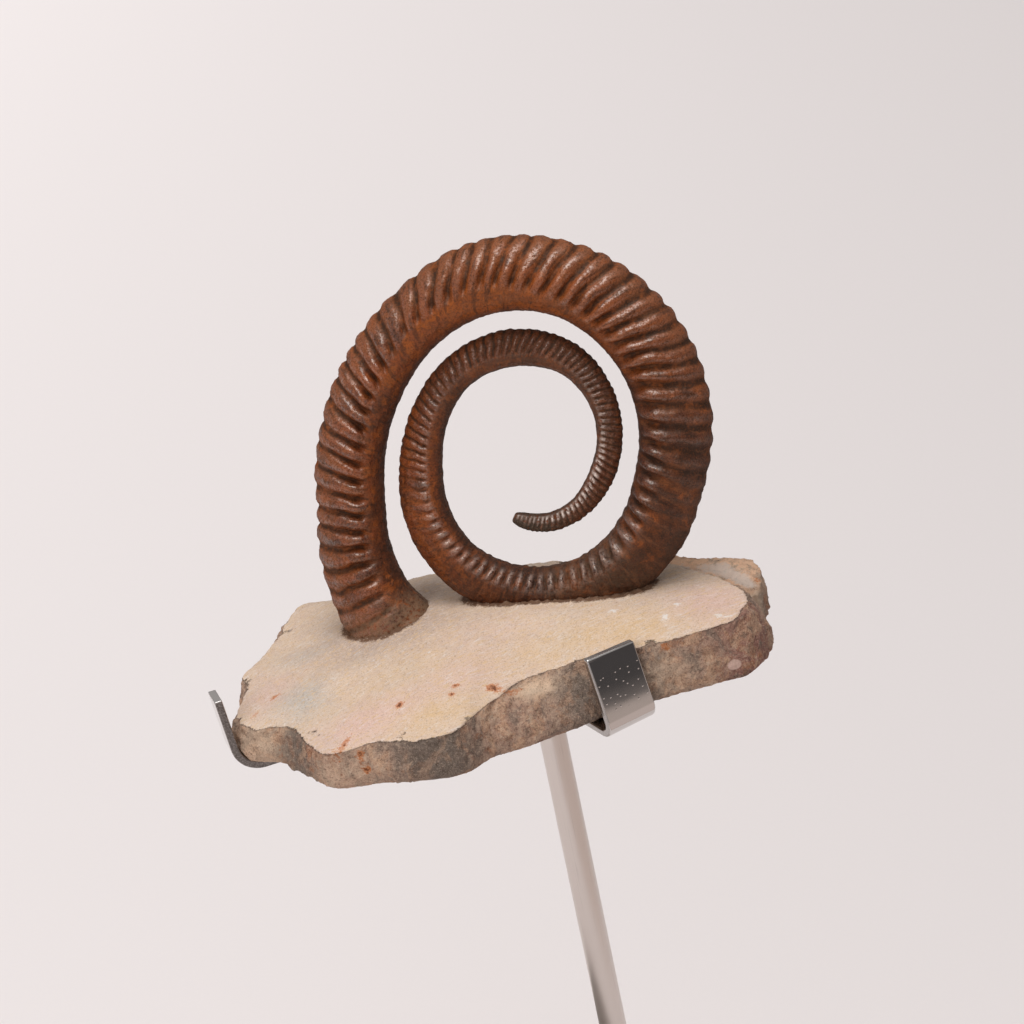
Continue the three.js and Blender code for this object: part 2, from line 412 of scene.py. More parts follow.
class Bench:
    """A material being made: its nodes, and the shader that they feed."""

    def __init__(self, name: str, **constants: Any) -> None:
        """Start a material with a principled shader whose sockets have constant values.

        Args:
            name: the material's name.
            constants: socket names, with _ for a space, and their values.
        """
        self.material = bpy.data.materials.new(name)
        self.material.use_nodes = True
        self.tree = self.material.node_tree
        self.tree.nodes.clear()
        self.shader = self.tree.nodes.new("ShaderNodeBsdfPrincipled")
        output = self.tree.nodes.new("ShaderNodeOutputMaterial")
        self.tree.links.new(self.shader.outputs[0], output.inputs[0])
        self.feed(**constants)

    def feed(self, **values: Any) -> None:
        """Set or link the shader's sockets, named with _ for a space."""
        for name, value in values.items():
            self._plug(self.shader.inputs[name.replace("_", " ")], value)

    def _plug(self, socket: bpy.types.NodeSocket, value: Any) -> None:
        """Fill a socket.

        Args:
            socket: the socket.
            value: the wire to link to it, or the number or colour to set it to.
        """
        if isinstance(value, Wire):
            self.tree.links.new(value.socket, socket)
        else:
            socket.default_value = value

    def node(self, kind: str, settings: Setting | None = None,
             values: dict[Any, Any] | None = None, output: int | str = 0) -> Wire:
        """Add a node.

        Args:
            kind: the node's type.
            settings: its own settings, which are set first.
            values: the values or wires of its sockets, by name or number.
            output: which of its outputs to go on with.

        Returns:
            The output, as a wire.
        """
        node = self.tree.nodes.new(kind)
        for name, value in (settings or {}).items():
            setattr(node, name, value)
        for name, value in (values or {}).items():
            self._plug(node.inputs[name], value)
        return Wire(self, node.outputs[output])

    def mark(self, name: str) -> Wire:
        """A number kept at the mesh's points."""
        return self.node("ShaderNodeAttribute", {"attribute_name": name}, output="Fac")

    def ragged(self, name: str, *grains: tuple[Wire, float]) -> Wire:
        """A mark whose edges are broken up by patterns.

        Args:
            name: the mark's name.
            grains: each pattern, and how far it moves the edges.

        Returns:
            The mark, moved up and down by the patterns.
        """
        mark = self.mark(name)
        for grain, reach in grains:
            mark = mark + (grain - 0.5) * reach
        return mark

    def place(self, stretch: Sequence[float] = (1, 1, 1), turn: float = 0.0,
              lean: float = 0.0) -> Wire:
        """Where a point is on the piece.

        Args:
            stretch: how much longer the marks are drawn along each axis.
            turn: how far the marks are turned about Z, in degrees.
            lean: how far the marks lean about Y, in degrees.

        Returns:
            The place, in millimetres.
        """
        spot = self.node("ShaderNodeTexCoord", output="Object")
        scale = tuple(1 / (MM * part) for part in stretch)
        turned = self.node(
            "ShaderNodeMapping", {"vector_type": "TEXTURE"},
            {"Vector": spot, "Rotation": (0, math.radians(lean), math.radians(turn))},
        )
        return self.node("ShaderNodeVectorMath", {"operation": "MULTIPLY"},
                         {0: turned, 1: scale})

    def grain(self, size: float, where: Wire | None = None, detail: float = 3.0,
              rough: float = 0.55, warp: float = 0.0) -> Wire:
        """A cloudy pattern.

        Args:
            size: the size of a cloud, in millimetres.
            where: the place to read it at, or None for the point itself.
            detail: how many finer layers it has.
            rough: how strong the finer layers are.
            warp: how far the clouds are swirled.

        Returns:
            The pattern, about 0.3 to 0.7.
        """
        return self.node(
            "ShaderNodeTexNoise", {"noise_dimensions": "3D"},
            {"Vector": where or self.place(), "Scale": 1 / size, "Detail": detail,
             "Roughness": rough, "Distortion": warp},
        )

    def blend(self, first: Any, second: Any, share: Any) -> Wire:
        """One colour laid over another by a share."""
        return self.node("ShaderNodeMix", {"data_type": "RGBA", "clamp_factor": True},
                         {0: share, 6: first, 7: second}, output=2)

    def layers(self, colour: Any, above: Sequence[tuple[Any, Any]]) -> Wire:
        """A colour with others laid over it, one after another.

        Args:
            colour: the colour below.
            above: each next colour, and the share that it covers.

        Returns:
            The colour seen in the end.
        """
        for over, share in above:
            colour = self.blend(colour, over, share)
        return colour

    def relief(self, height: Wire, depth: float, under: Wire | None = None) -> Wire:
        """A normal bent by a height.

        Args:
            height: the height, about 0 to 1.
            depth: how far 1 stands above 0, in millimetres.
            under: another relief that this one lies on.

        Returns:
            The normal.
        """
        values = {"Height": height, "Distance": depth * MM, "Strength": 1.0}
        if under:
            values["Normal"] = under
        return self.node("ShaderNodeBump", values=values)


@dataclass(frozen=True)
class ShellFinish:
    """The fossil shell: iron-brown stone with a worn polish, rusty and dark by turns."""

    body: Colour = tint(120, 58, 25)
    plum: Colour = tint(64, 32, 21)
    deep: Colour = tint(32, 18, 12)
    rust: Colour = tint(156, 78, 18)
    painted_crest_highlight: Colour = tint(152, 94, 70)
    ash: Colour = tint(66, 56, 48)
    pale: Colour = tint(220, 204, 194)
    dust: Colour = tint(128, 102, 80)
    haze: Colour = tint(116, 70, 42)
    gleam: Colour = (1.0, 0.78, 0.62, 1.0)
    # How closely the growth lines follow one another along the shell, and round it.
    line_pitch: float = 3.4
    line_turn: float = 1.4
    # Its roughness, what grooves and rims add and rubbed crests take, and the crests' wax.
    rough: float = 0.52
    groove_rough: float = 0.15
    rim_rough: float = 0.3
    crest_polish: float = 0.2
    wax: float = 0.8
    rim_dulling: float = 0.8
    lump_depth: float = 0.34
    pit_depth: float = 0.24

    def make(self) -> bpy.types.Material:
        """Mix the material.

        Returns:
            The material.
        """
        bench = Bench("fossil shell", Specular_IOR_Level=0.6, Specular_Tint=self.gleam,
                      Coat_Roughness=0.32, Coat_IOR=1.8)
        groove, crest, dark, rim = map(bench.mark, ("groove", "crest", "dark", "rim"))
        broad = bench.grain(8.0, detail=2.0)
        middle = bench.grain(2.4)
        fine = bench.grain(0.8, rough=0.7)
        specks = bench.grain(0.38, detail=2.0, rough=0.7)
        round_shell = bench.node("ShaderNodeCombineXYZ", values={
            "X": bench.mark("ribs") * self.line_pitch,
            "Y": bench.mark("out") * self.line_turn,
            "Z": bench.mark("across") * self.line_turn,
        })
        growth = bench.grain(1.0, round_shell, detail=2.0, rough=0.6)
        colour = bench.layers(self.body, (
            (self.plum, (broad + middle * 0.8).over(0.80, 1.0) * 0.85),
            (self.rust, (middle - broad * 0.3).over(0.35, 0.44) * 0.45),
            (self.rust, bench.mark("warm") * 0.35),
            # The dark mark holds the shell's darker tone along its length and the painted shade
            # on the section's inner side.
            (self.plum, dark * broad.over(0.68, 0.50)),
            (self.rust, dark * broad.over(0.54, 0.64) * 0.12),
            (self.deep, dark * middle.over(0.60, 0.45) * 0.4),
            (self.haze, bench.mark("outer") * fine.over(0.32, 0.56) * 0.55),
            (self.rust, bench.mark("inner") * middle.over(0.42, 0.60) * 0.5),
            (self.rust, groove * broad.over(0.44, 0.56) * 0.4),
            (self.deep, groove.over(0.4, 0.95) * middle.over(0.25, 0.55) * 0.85),
            # Painted highlight: a pinkish sheen painted on the rib crests, where the crest mark
            # is high.
            (self.painted_crest_highlight, crest * fine.over(0.42, 0.60) * 0.6),
            (self.deep, growth.over(0.53, 0.66) * 0.5),
            (self.haze, growth.over(0.46, 0.34) * 0.35),
            (self.deep, fine.over(0.54, 0.66) * 0.45),
            (self.deep, specks.over(0.52, 0.62) * 0.4),
            (self.rust, specks.over(0.44, 0.34) * 0.2),
            (self.ash, bench.mark("ashen") * fine.over(0.3, 0.55)),
            # Painted glints: pale flecks painted on the rib crests at the tip and along the
            # bottom.
            (self.pale, bench.mark("pale") * fine.over(0.41, 0.52) * 0.95),
            (self.dust, bench.mark("dusty") * fine.over(0.32, 0.56)),
        ))
        rough = self.rough + groove * self.groove_rough + rim * self.rim_rough
        rough = rough - crest.over(0.0, 0.4) * fine.over(0.66, 0.50) * self.crest_polish
        wax = crest.over(0.0, 0.42) * fine.over(0.58, 0.46) * specks.over(0.62, 0.48)
        wax = wax * (1 - rim * self.rim_dulling) * self.wax
        lumps = bench.relief(bench.grain(2.2, detail=1.0) + growth * 0.35, self.lump_depth)
        pits = bench.relief(bench.grain(0.8, detail=1.5, rough=0.6), self.pit_depth, lumps)
        bench.feed(Base_Color=colour, Roughness=rough, Normal=pits, Coat_Weight=wax)
        return bench.material


@dataclass(frozen=True)
class Grains:
    """A stone's patterns, from the broadest to the finest."""

    broad: Wire
    middle: Wire
    fine: Wire
    sand: Wire


@dataclass(frozen=True)
class StoneFinish:
    """The limestone: a scraped cream top over a rough, broken, grey-brown side."""

    cream: Colour = tint(211, 186, 164)
    pink: Colour = tint(211, 178, 164)
    cloud: Colour = tint(180, 172, 164)
    haze: Colour = tint(178, 156, 142)
    honey: Colour = tint(210, 178, 138)
    rust: Colour = tint(186, 112, 62)
    iron: Colour = tint(92, 50, 34)
    chalk: Colour = tint(226, 224, 222)
    shade: Colour = tint(146, 122, 102)
    crust: Colour = tint(176, 144, 124)
    slate: Colour = tint(118, 104, 94)
    mauve: Colour = tint(146, 104, 92)
    straw: Colour = tint(210, 184, 160)
    pale_and_painted_light: Colour = tint(238, 206, 176)
    pit: Colour = tint(70, 56, 46)
    umber: Colour = tint(92, 60, 40)
    tan: Colour = tint(176, 128, 96)
    ledge: Colour = tint(232, 186, 152)
    bare: Colour = tint(206, 192, 182)
    # The scraper's strokes: how much longer than wide they are, and their turn in degrees.
    stroke_stretch: float = 4.5
    stroke_turn: float = 30
    # The side's beds: how much thicker than wide they are, and their turn in degrees.
    zone_stretch: float = 1.6
    zone_turn: float = 25
    scrape_depth: float = 0.14
    break_depth: float = 0.7
    rough: float = 0.78
    broken_rough: float = 0.12

    def make(self) -> bpy.types.Material:
        """Mix the material.

        Returns:
            The material.
        """
        bench = Bench("limestone", Specular_IOR_Level=0.25)
        grains = Grains(
            broad=bench.grain(11.0),
            middle=bench.grain(3.0, detail=4.0, rough=0.65),
            fine=bench.grain(0.9, detail=4.0, rough=0.8),
            sand=bench.grain(0.36, detail=2.0, rough=0.8),
        )
        middle, fine, sand = grains.middle, grains.fine, grains.sand
        strokes = bench.grain(0.6, bench.place((self.stroke_stretch, 1, 1), self.stroke_turn),
                              rough=0.65, warp=0.7)
        edge = bench.ragged("side", (fine, 0.9), (sand, 0.4))
        # Painted shade: a broken dark line along the edge where the top turns down into the side.
        edge_shade = edge.over(0.45, 0.6) * edge.over(0.95, 0.7) * middle.over(0.42, 0.58)
        stain = bench.ragged("rust", (fine, 1.8), (sand, 0.8))
        colour = bench.layers(self._top(bench, grains, strokes), (
            (self._side(bench, grains), edge.over(0.42, 0.56)),
            (self.pit, edge_shade * 0.55),
            (self.rust, stain.over(0.30, 0.70) * 0.75),
            (self.iron, stain.over(0.75, 1.0) * 0.85),
        ))
        broken = edge.over(0.3, 0.6)
        scraped = bench.relief(strokes * 0.7 + sand * 0.5, self.scrape_depth)
        height = (middle * 0.5 + fine * 0.6 + sand * 0.3) * broken
        normal = bench.relief(height, self.break_depth, scraped)
        rough = self.rough + broken * self.broken_rough
        bench.feed(Base_Color=colour, Roughness=rough, Normal=normal)
        return bench.material

    def _top(self, bench: Bench, grains: Grains, strokes: Wire) -> Wire:
        """The colour of the scraped top.

        Args:
            bench: the material being made.
            grains: the stone's patterns.
            strokes: the scraper's strokes.

        Returns:
            The colour.
        """
        middle, fine, sand = grains.middle, grains.fine, grains.sand
        crumbs = bench.ragged("crumbs", (fine, 1.6), (sand, 0.8))
        cloud = bench.ragged("cloud", (grains.broad, 0.8))
        return bench.layers(self.cream, (
            (self.pink, bench.ragged("pink", (middle, 1.2))),
            (self.honey, bench.mark("honey") * (middle.over(0.35, 0.6) * 0.8 + 0.2)),
            (self.cloud, cloud * fine.over(0.2, 0.5)),
            # The haze patches are partly a greyer tone of the stone and partly painted shade:
            # behind the shell and round its foot they darken the stone where its shadow falls.
            (self.haze, bench.ragged("haze", (middle, 1.2)) * fine.over(0.3, 0.55)),
            (self.honey, strokes.over(0.52, 0.64) * 0.65),
            (self.chalk, strokes.over(0.45, 0.34) * 0.28),
            (self.shade, sand.over(0.52, 0.68) * 0.5),
            (self.chalk, sand.over(0.42, 0.30) * 0.25),
            (self.shade, fine.over(0.58, 0.72) * 0.45),
            # Partly painted shade: next to the shell the crumbs darken the stone, both as rock
            # that clings there and as the contact shade where shell meets slab.
            (self.shade, crumbs.over(0.2, 0.6) * 0.7),
            (self.umber, crumbs.over(0.5, 0.9) * 0.85),
            (self.chalk, bench.ragged("chalk", (fine, 2.4)).over(0.60, 0.85) * 0.6),
        ))

    def _side(self, bench: Bench, grains: Grains) -> Wire:
        """The colour of the broken side.

        Args:
            bench: the material being made.
            grains: the stone's patterns.

        Returns:
            The colour.
        """
        broad, middle, fine, sand = grains.broad, grains.middle, grains.fine, grains.sand
        zones = bench.grain(5.5, bench.place((1, 1, self.zone_stretch), self.zone_turn),
                            rough=0.6, warp=0.8)
        slate = bench.mark("slate")
        flat = bench.ragged("flat", (middle, 1.6), (fine, 1.2))
        return bench.layers(self.crust, (
            (self.slate, (slate + (broad - 0.44) * 2.2) * 0.9),
            (self.mauve, bench.mark("mauve") + (broad - middle) * 1.4),
            (self.straw, zones.over(0.54, 0.62) * 0.55),
            (self.slate, zones.over(0.46, 0.38) * 0.6),
            (self.tan, (zones - middle * 0.6).over(0.20, 0.30) * 0.5),
            (self.slate, middle.over(0.46, 0.36) * 0.5),
            (self.rust, (broad - middle * 0.7).over(0.25, 0.36) * 0.3),
            # Painted light over the stone's paler tone: these patches lighten the ledge, where
            # the shell's shadow falls, and side faces that the lamps leave dim.
            (self.pale_and_painted_light, bench.mark("pale_and_painted_light") * (middle.over(0.3, 0.5) * 0.4 + 0.6)),
            (self.straw, fine.over(0.46, 0.38) * 0.4),
            (self.slate, slate.over(0.3, 1.1) * 0.55),
            (self.pit, fine.over(0.54, 0.63) * 0.5),
            (self.pit, sand.over(0.54, 0.64) * 0.4),
            (self.straw, sand.over(0.44, 0.34) * 0.35),
            # Partly painted light: the ledge is coloured lighter than its stone, to make up for
            # the shell's shadow on it.
            (self.ledge, bench.mark("ledge") * middle.over(0.38, 0.52) * 0.9),
            (self.bare, flat.over(0.25, 0.75) * 0.75),
            (self.straw, bench.mark("rind") * middle.over(0.3, 0.5)),
            (self.pink, bench.mark("pebble").over(0.35, 0.6) * 0.95),
        ))


class Sheen(Enum):
    """How a steel piece was finished: its finish's name, its roughness and its streaks' depth."""

    POLISHED = ("polished steel", 0.04, 0.0004)
    SATIN = ("satin steel", 0.3, 0.004)


@dataclass(frozen=True)
class SteelFinish:
    """Stainless steel, polished or brushed."""

    sheen: Sheen
    bright: Colour = tint(205, 200, 197)
    satin: Colour = tint(212, 203, 197)
    dull: Colour = tint(84, 76, 72)
    streak_stretch: float = 60
    # How much rougher it is in a smear, where its edges are rubbed and where it is sawn off.
    smear_rough: float = 0.04
    rubbed_rough: float = 0.45
    sawn_rough: float = 0.4
    # The beads on the broad strip: half the strip's width, their pitch, their depth, and how
    # far below the strip's tip they begin and end.
    half_width: float = 6.35
    bead_pitch: float = 1.95
    bead_depth: float = 0.05
    beads_begin: Span = (3.5, 5.0)
    beads_end: Span = (12.8, 11.8)

    def make(self) -> bpy.types.Material:
        """Mix the material.

        Returns:
            The material.
        """
        name, rough, depth = self.sheen.value
        bench = Bench(name, Metallic=1.0)
        below, across, worn = map(bench.mark, ("below", "across", "worn"))
        streaks = bench.grain(0.25, bench.place((1, 1, self.streak_stretch), 0, -LEAN.degrees),
                              detail=2.0)
        smears = bench.grain(6.0, detail=2.0)
        sawn = worn * below.over(0.5, 0.1)
        rubbed_and_painted_edge = worn * (across * across).over(0.89, 0.96) * below.over(0.1, 0.5)
        pits = bench.grain(0.4, rough=0.8)
        if self.sheen is Sheen.SATIN:
            colour = bench.blend(self.satin, self.dull, streaks.over(0.6, 0.8) * 0.2)
        else:
            # Painted dark reflection: a polished strip's rubbed side edges are coloured darker,
            # standing for dark reflections there; their extra roughness is real rubbing.
            painted_dark_edge = rubbed_and_painted_edge * (0.45 + pits.over(0.25, 0.65) * 0.45)
            colour = bench.blend(self.bright, self.dull, painted_dark_edge)
        rough = rough + (smears - 0.5) * self.smear_rough
        rough = rough + rubbed_and_painted_edge * self.rubbed_rough + sawn * self.sawn_rough
        beads = self._beads(bench, across, below)
        normal = bench.relief(beads, self.bead_depth, bench.relief(streaks, depth))
        bench.feed(Base_Color=colour, Roughness=rough, Normal=normal)
        return bench.material

    def _beads(self, bench: Bench, across: Wire, below: Wire) -> Wire:
        """Small round beads, strewn over a strip's upright.

        Args:
            bench: the material being made.
            across: how far a point is across the strip, from -1 to 1.
            below: how far it is below the strip's tip, in millimetres.

        Returns:
            The beads' height, 0 to 1.
        """
        face = bench.node("ShaderNodeCombineXYZ",
                          values={"X": across * self.half_width, "Y": below})
        dots = bench.node("ShaderNodeTexVoronoi", {"voronoi_dimensions": "2D"},
                          {"Vector": face, "Scale": 1 / self.bead_pitch, "Randomness": 0.8},
                          "Distance")
        beads = dots.over(0.11, 0.02) * bench.mark("beaded")
        return beads * below.over(*self.beads_begin) * below.over(*self.beads_end)


@dataclass(frozen=True)
class PaperFinish:
    """The pale paper that the object stands on."""

    colour: Colour = tint(236, 229, 228)
    fibre_shade: float = 0.985

    def make(self) -> bpy.types.Material:
        """Mix the material.

        Returns:
            The material.
        """
        bench = Bench("pale paper", Roughness=0.9, Specular_IOR_Level=0.1)
        fibres = bench.grain(1.2, detail=2.0)
        shade = tuple(self.fibre_shade * part for part in self.colour[:3]) + (1.0,)
        bench.feed(Base_Color=bench.blend(self.colour, shade, fibres))
        return bench.material


def dress(piece: bpy.types.Object, material: bpy.types.Material, node: str) -> None:
    """Finish a piece, attach it to the body and hide the solid that it stands for.

    Args:
        piece: the piece, in its place.
        material: its finish.
        node: the solid that the piece stands for.
    """
    piece.data.materials.clear()
    piece.data.materials.append(material)
    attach(piece, BODY)
    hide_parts(node)
    log.info("%s: %d points", piece.name, len(piece.data.vertices))


# The shell ----------------------------------------------------------------------------------


@dataclass
class Shell:
    """The coiled shell: a ribbed tube swept along an open spiral.

    The tables go by arc length from the tip. A place on the section is the cosine of its turn:
    1 on the coil's outer side and -1 on its inner side.
    """

    pole: tuple[float, float, float] = (7.1, 10.75, 48.85)
    lean_back: float = 14.0
    yaw: float = 5.0
    # Turn about the pole (degrees), distance from the pole, and radius over the ribs.
    stations: Sequence[Sequence[float]] = (
        (247.5, 16.2, 1.2), (254, 16.5, 1.8), (262, 16.9, 2.1), (278, 17.3, 2.3),
        (300, 17.2, 2.5), (330, 17.0, 3.0), (360, 18.2, 3.0), (390, 20.5, 3.3),
        (420, 23.0, 3.9), (450, 23.8, 4.35), (480, 24.0, 4.2), (510, 23.9, 4.4),
        (540, 25.2, 5.0), (565, 28.4, 5.4), (590, 31.6, 5.6), (617, 33.4, 6.1),
        (645, 33.9, 6.9), (675, 33.0, 7.7), (700, 32.1, 8.1), (730, 34.2, 8.6),
        (760, 37.4, 8.8), (790, 40.3, 8.6), (815, 40.8, 8.5), (840, 39.4, 7.7),
        (870, 39.1, 7.8), (900, 41.7, 8.0), (913, 44.0, 8.0), (920, 46.3, 8.2),
        (927, 48.4, 8.5), (935, 50.6, 8.9), (943, 53.1, 9.4), (950, 56.1, 9.8),
    )
    # How many ribs lie between the tip and an arc length along the shell.
    ribs_passed: Corners = (
        (0, -8), (8, 0), (15, 5), (33.4, 17.5), (58, 33), (69.7, 40), (89.2, 50), (109.8, 60),
        (131.1, 68), (154.7, 77), (171, 82), (182.9, 85), (202.7, 90), (221.7, 94),
        (242.1, 99), (261.5, 104), (280.3, 109), (299, 113), (310, 116), (323, 119),
        (340, 123), (356.5, 127), (374, 131),
    )
    # How far the ribs sweep back on the outer side (degrees), where on the section they fade,
    # how deep their grooves are (a share of the radius), and how broad their crests are.
    sweeps: Corners = (
        (0, 10), (60, 15), (95, 10), (110, 4), (150, 7), (205, 9), (222, 17), (262, 20),
        (280, 27), (296, 23), (310, 17), (328, 12), (342, 5), (358, 0), (374, -4),
    )
    fades: Corners = (
        (0, -0.8), (30, -0.75), (45, -0.4), (62, -0.15), (90, -0.25), (115, -0.5), (135, -0.9),
        (185, -0.95), (225, -0.8), (240, -0.6), (256, -0.35), (270, -0.1), (290, -0.1),
        (305, -0.35), (325, -0.55), (350, -0.6), (374, -0.6),
    )
    depths: Corners = (
        (0, 0.0), (1.5, 0.08), (5, 0.21), (30, 0.19), (60, 0.15), (100, 0.12), (125, 0.12),
        (140, 0.11), (165, 0.12), (182, 0.13), (205, 0.15), (225, 0.18), (260, 0.16),
        (285, 0.17), (305, 0.21), (345, 0.20), (358, 0.09), (366, 0.0),
    )
    fullness: Corners = (
        (0, 1.1), (60, 1.4), (110, 1.8), (150, 1.2), (200, 1.1), (228, 1.3), (245, 1.8),
        (275, 2.0), (300, 2.2), (374, 2.0),
    )
    # By place on the section: how much of its depth a groove keeps.
    reliefs: Corners = ((-1, 0.6), (-0.6, 1.1), (0, 1.1), (0.45, 0.8), (0.8, 0.45), (1, 0.34))
    # How much the ribs are worn away where the shell lies down, and where on the section.
    rests: Corners = ((102, 0.0), (120, 0.6), (135, 1.0), (176, 1.0), (192, 0.5), (206, 0.0))
    rest_places: Span = (-0.72, -0.12)
    # How rough the surface is, how dark it is, how rusty its smooth inner band is, how much
    # warmer its brown is, how its crests shine, both in real polish and in a painted highlight,
    # and how strong the glints painted on its ribs are.
    roughness: Corners = (
        (0, 1.6), (30, 1.2), (110, 1.2), (140, 1.8), (185, 1.6), (215, 1.0), (260, 1.2),
        (374, 1.6),
    )
    darkness: Corners = (
        (0, 0.3), (30, 0.3), (50, 0.4), (85, 0.4), (105, 0.0), (128, 0.15), (150, 1.0),
        (195, 1.0), (210, 0.75), (228, 0.3), (250, 0.0), (374, 0.0),
    )
    rusting: Corners = (
        (100, 0.1), (120, 0.3), (140, 0.0), (240, 0.0), (265, 0.4), (300, 0.5), (315, 0.6),
        (350, 0.5), (368, 0.2),
    )
    warmth: Corners = ((206, 0.0), (222, 1.0), (272, 1.0), (290, 0.0))
    shine: Corners = (
        (0, 0.9), (30, 0.7), (60, 0.4), (110, 0.4), (140, 0.25), (205, 0.22), (230, 0.5),
        (262, 0.45), (300, 0.4), (374, 0.45),
    )
    painted_glints: Corners = (
        (0, 0.35), (3, 0.2), (9, 1.0), (26, 0.9), (40, 0.4), (60, 0.15), (100, 0.15),
        (110, 0.35), (132, 0.2), (142, 0.28), (176, 0.15), (190, 0.0), (374, 0.0),
    )
    # How much thinner the section is on its outer side than on its inner side.
    keels: Corners = ((0, 0.3), (330, 0.3), (360, -0.05), (374, -0.1))
    keel_round: float = 0.3
    flattening: float = 0.95
    # How unevenly the ribs run: the sizes of three patterns over the skin, how many of their
    # millimetres go round a section, how far a rib strays (a share of the radius), how much of
    # that is the fine pattern's, and how much the depth changes.
    stray_sizes: tuple[float, float, float] = (13, 6, 5)
    girth: float = 9
    stray: float = 0.09
    fine_stray: float = 0.6
    unevenness: float = 0.42
    fade_edge: Span = (-0.14, 0.16)
    # The low knobs where the ribs begin: how far they are from the fade, their width and
    # height, and where along the shell they come and go.
    knob_reach: float = 0.34
    knob_width: float = 0.26
    knob_height: float = 0.05
    knobs_come: Span = (60, 100)
    knobs_go: Span = (366, 352)
    # The surface's bumps, their height in all, and the length of the tip that has few of them.
    bumps: Sequence[Bumps] = (Bumps(3.2, 3, 0.7), Bumps(1.2, 2, 0.7))
    bump: float = 0.16
    calm_tip: float = 12
    calm: float = 0.35
    bump_radius: float = 8
    least_bumps: float = 0.1
    # How sharply the crests' shine and their painted glints end at the grooves, and how much the
    # knobs add to the shine.
    shine_edge: float = 1.3
    glint_edge: float = 2.2
    knob_shine: float = 0.6
    # Where on the section the painted glints come and go, where the rusty band, the outer haze,
    # the rims and the painted shade on the inner side are, and how dark that shade is.
    glint_places: tuple[Span, Span] = ((-1.0, -0.8), (-0.05, -0.4))
    inner_places: Span = (-0.98, -0.7)
    outer_places: Span = (0.1, 0.8)
    rim_places: Span = (0.6, 0.95)
    inner_shade_places: Span = (-0.72, -1)
    inner_shade: float = 0.7
    # Where along the shell the outer haze begins.
    outer_span: Span = (210, 250)
    # The ash on the tip, on its inner and outer sides, and on the whole of the inner coil.
    ash_span: Span = (18, 4)
    ash_places: Span = (-0.4, 0.4)
    ash_shares: Span = (0.35, 0.65)
    coil_ash: float = 0.3
    coil_ash_span: Span = (110, 60)
    # The dust on the foot, on the stretch that the slab shelters, and on the worn outer side.
    foot_dust: float = 0.85
    foot_dust_span: Span = (357, 370)
    bed_dust: float = 0.15
    bed_comes: Span = (150, 157)
    bed_goes: Span = (182, 172)
    worn_dust: float = 0.12
    worn_places: Span = (0.5, 0.95)
    # Where along the shell its distance to the slab matters, and in what steps it is taken.
    near_slab: float = 110
    gap_step: float = 1.5
    # The foot, where the shell goes into the slab: its swelling, its crumbs and where they are.
    toe: float = 0.16
    toe_span: Span = (360, 370)
    crumbs: Bumps = Bumps(1.6, 2, 0.35, 30)
    crumb_span: Span = (363, 371)
    foot_trim: float = 1.0
    foot_ease: float = 9.0
    toe_side: Span = (-0.3, -1.0)
    # The blunt tip: its length, and its end's share of the section.
    tip_round: float = 0.6
    tip_blunt: float = 0.55
    sides: int = 94
    first_rings: Sequence[float] = (0.0, 0.12, 0.3, 0.55)
    ring_steps: Corners = ((110, 0.27), (210, 0.46))
    trace_steps: int = 4001
    seed: int = 7

    def trace(self) -> None:
        """Work out the centreline: arc length, place, direction outwards and radius."""
        station = through(self.stations, np.linspace(0, 1, self.trace_steps))
        turn = np.radians(station[:, 0])
        spot = np.stack([np.cos(turn), 0 * turn, np.sin(turn)], axis=1) * station[:, 1:2]
        steps = np.linalg.norm(np.diff(spot, axis=0), axis=1)
        self.arcs = np.concatenate([[0], np.cumsum(steps)])
        self.length = self.arcs[-1]
        ahead = np.gradient(spot, self.arcs, axis=0)
        ahead /= np.linalg.norm(ahead, axis=1)[:, None]
        outward = np.stack([ahead[:, 2], 0 * turn, -ahead[:, 0]], axis=1)
        self.path = np.hstack([spot, outward, station[:, 2:3]])

    def follow(self, arc: Array) -> tuple[Array, Array, Array]:
        """The place, outward direction and radius at some arc lengths."""
        found = [np.interp(arc, self.arcs, column) for column in self.path.T]
        return np.stack(found[:3], -1), np.stack(found[3:6], -1), found[6]

    def ring_arcs(self) -> Array:
        """Choose the rings, closer together where the ribs are fine.

        Returns:
            Their arc lengths.
        """
        arcs = list(self.first_rings)
        while arcs[-1] < self.length - self.foot_trim:
            arcs.append(arcs[-1] + along(self.ring_steps, arcs[-1]))
        return np.array(arcs)

    def build(self) -> bpy.types.Object:
        """Make the shell's mesh and keep its marks.

        Returns:
            The shell, in its place.
        """
        self.trace()
        noise = Noise(self.seed)
        arc = self.ring_arcs()[:, None]
        angle = (np.arange(self.sides) / self.sides * 2 * np.pi)[None, :]
        out, across = np.cos(angle) + 0 * arc, np.sin(angle) + 0 * arc
        radius = self.follow(arc)[2]
        ends = np.clip(np.minimum(arc, self.length - arc) / self.foot_ease, 0, 1)
        sweep = np.tan(np.radians(along(self.sweeps, arc))) * radius * ends
        spot, outward, swept = self.follow(arc - sweep * out)
        share, marks = self.carve(noise, arc, out, across)
        tip = np.clip(arc / self.tip_round, 0, 1)
        blunt = self.tip_blunt + (1 - self.tip_blunt) * np.sqrt(1 - (1 - tip) ** 2)
        size = blunt * swept * share
        size = size * (1 + self.toe * rise(*self.toe_span, arc) * rise(*self.toe_side, out))
        bulge = 1 - along(self.keels, arc) * out * (1 - self.keel_round * np.abs(out))
        flesh = np.stack([
            outward[..., 0] * size * out,
            self.flattening * size * across * bulge,
            outward[..., 2] * size * out,
        ], axis=-1)
        away = flesh / np.linalg.norm(flesh, axis=-1)[..., None]
        rings = spot + flesh
        rings = rings + away * self.roughen(noise, rings, arc, radius)[..., None]
        points, faces = closed_tube(rings, rings[0].mean(axis=0), rings[-1].mean(axis=0))
        mesh = make_mesh("ammonite_shell", self.stand(points), faces)
        marks = {name: np.broadcast_to(values, out.shape) for name, values in marks.items()}
        note(mesh, {name: with_ends(values) for name, values in marks.items()})
        return place(mesh, LEAN.frame)

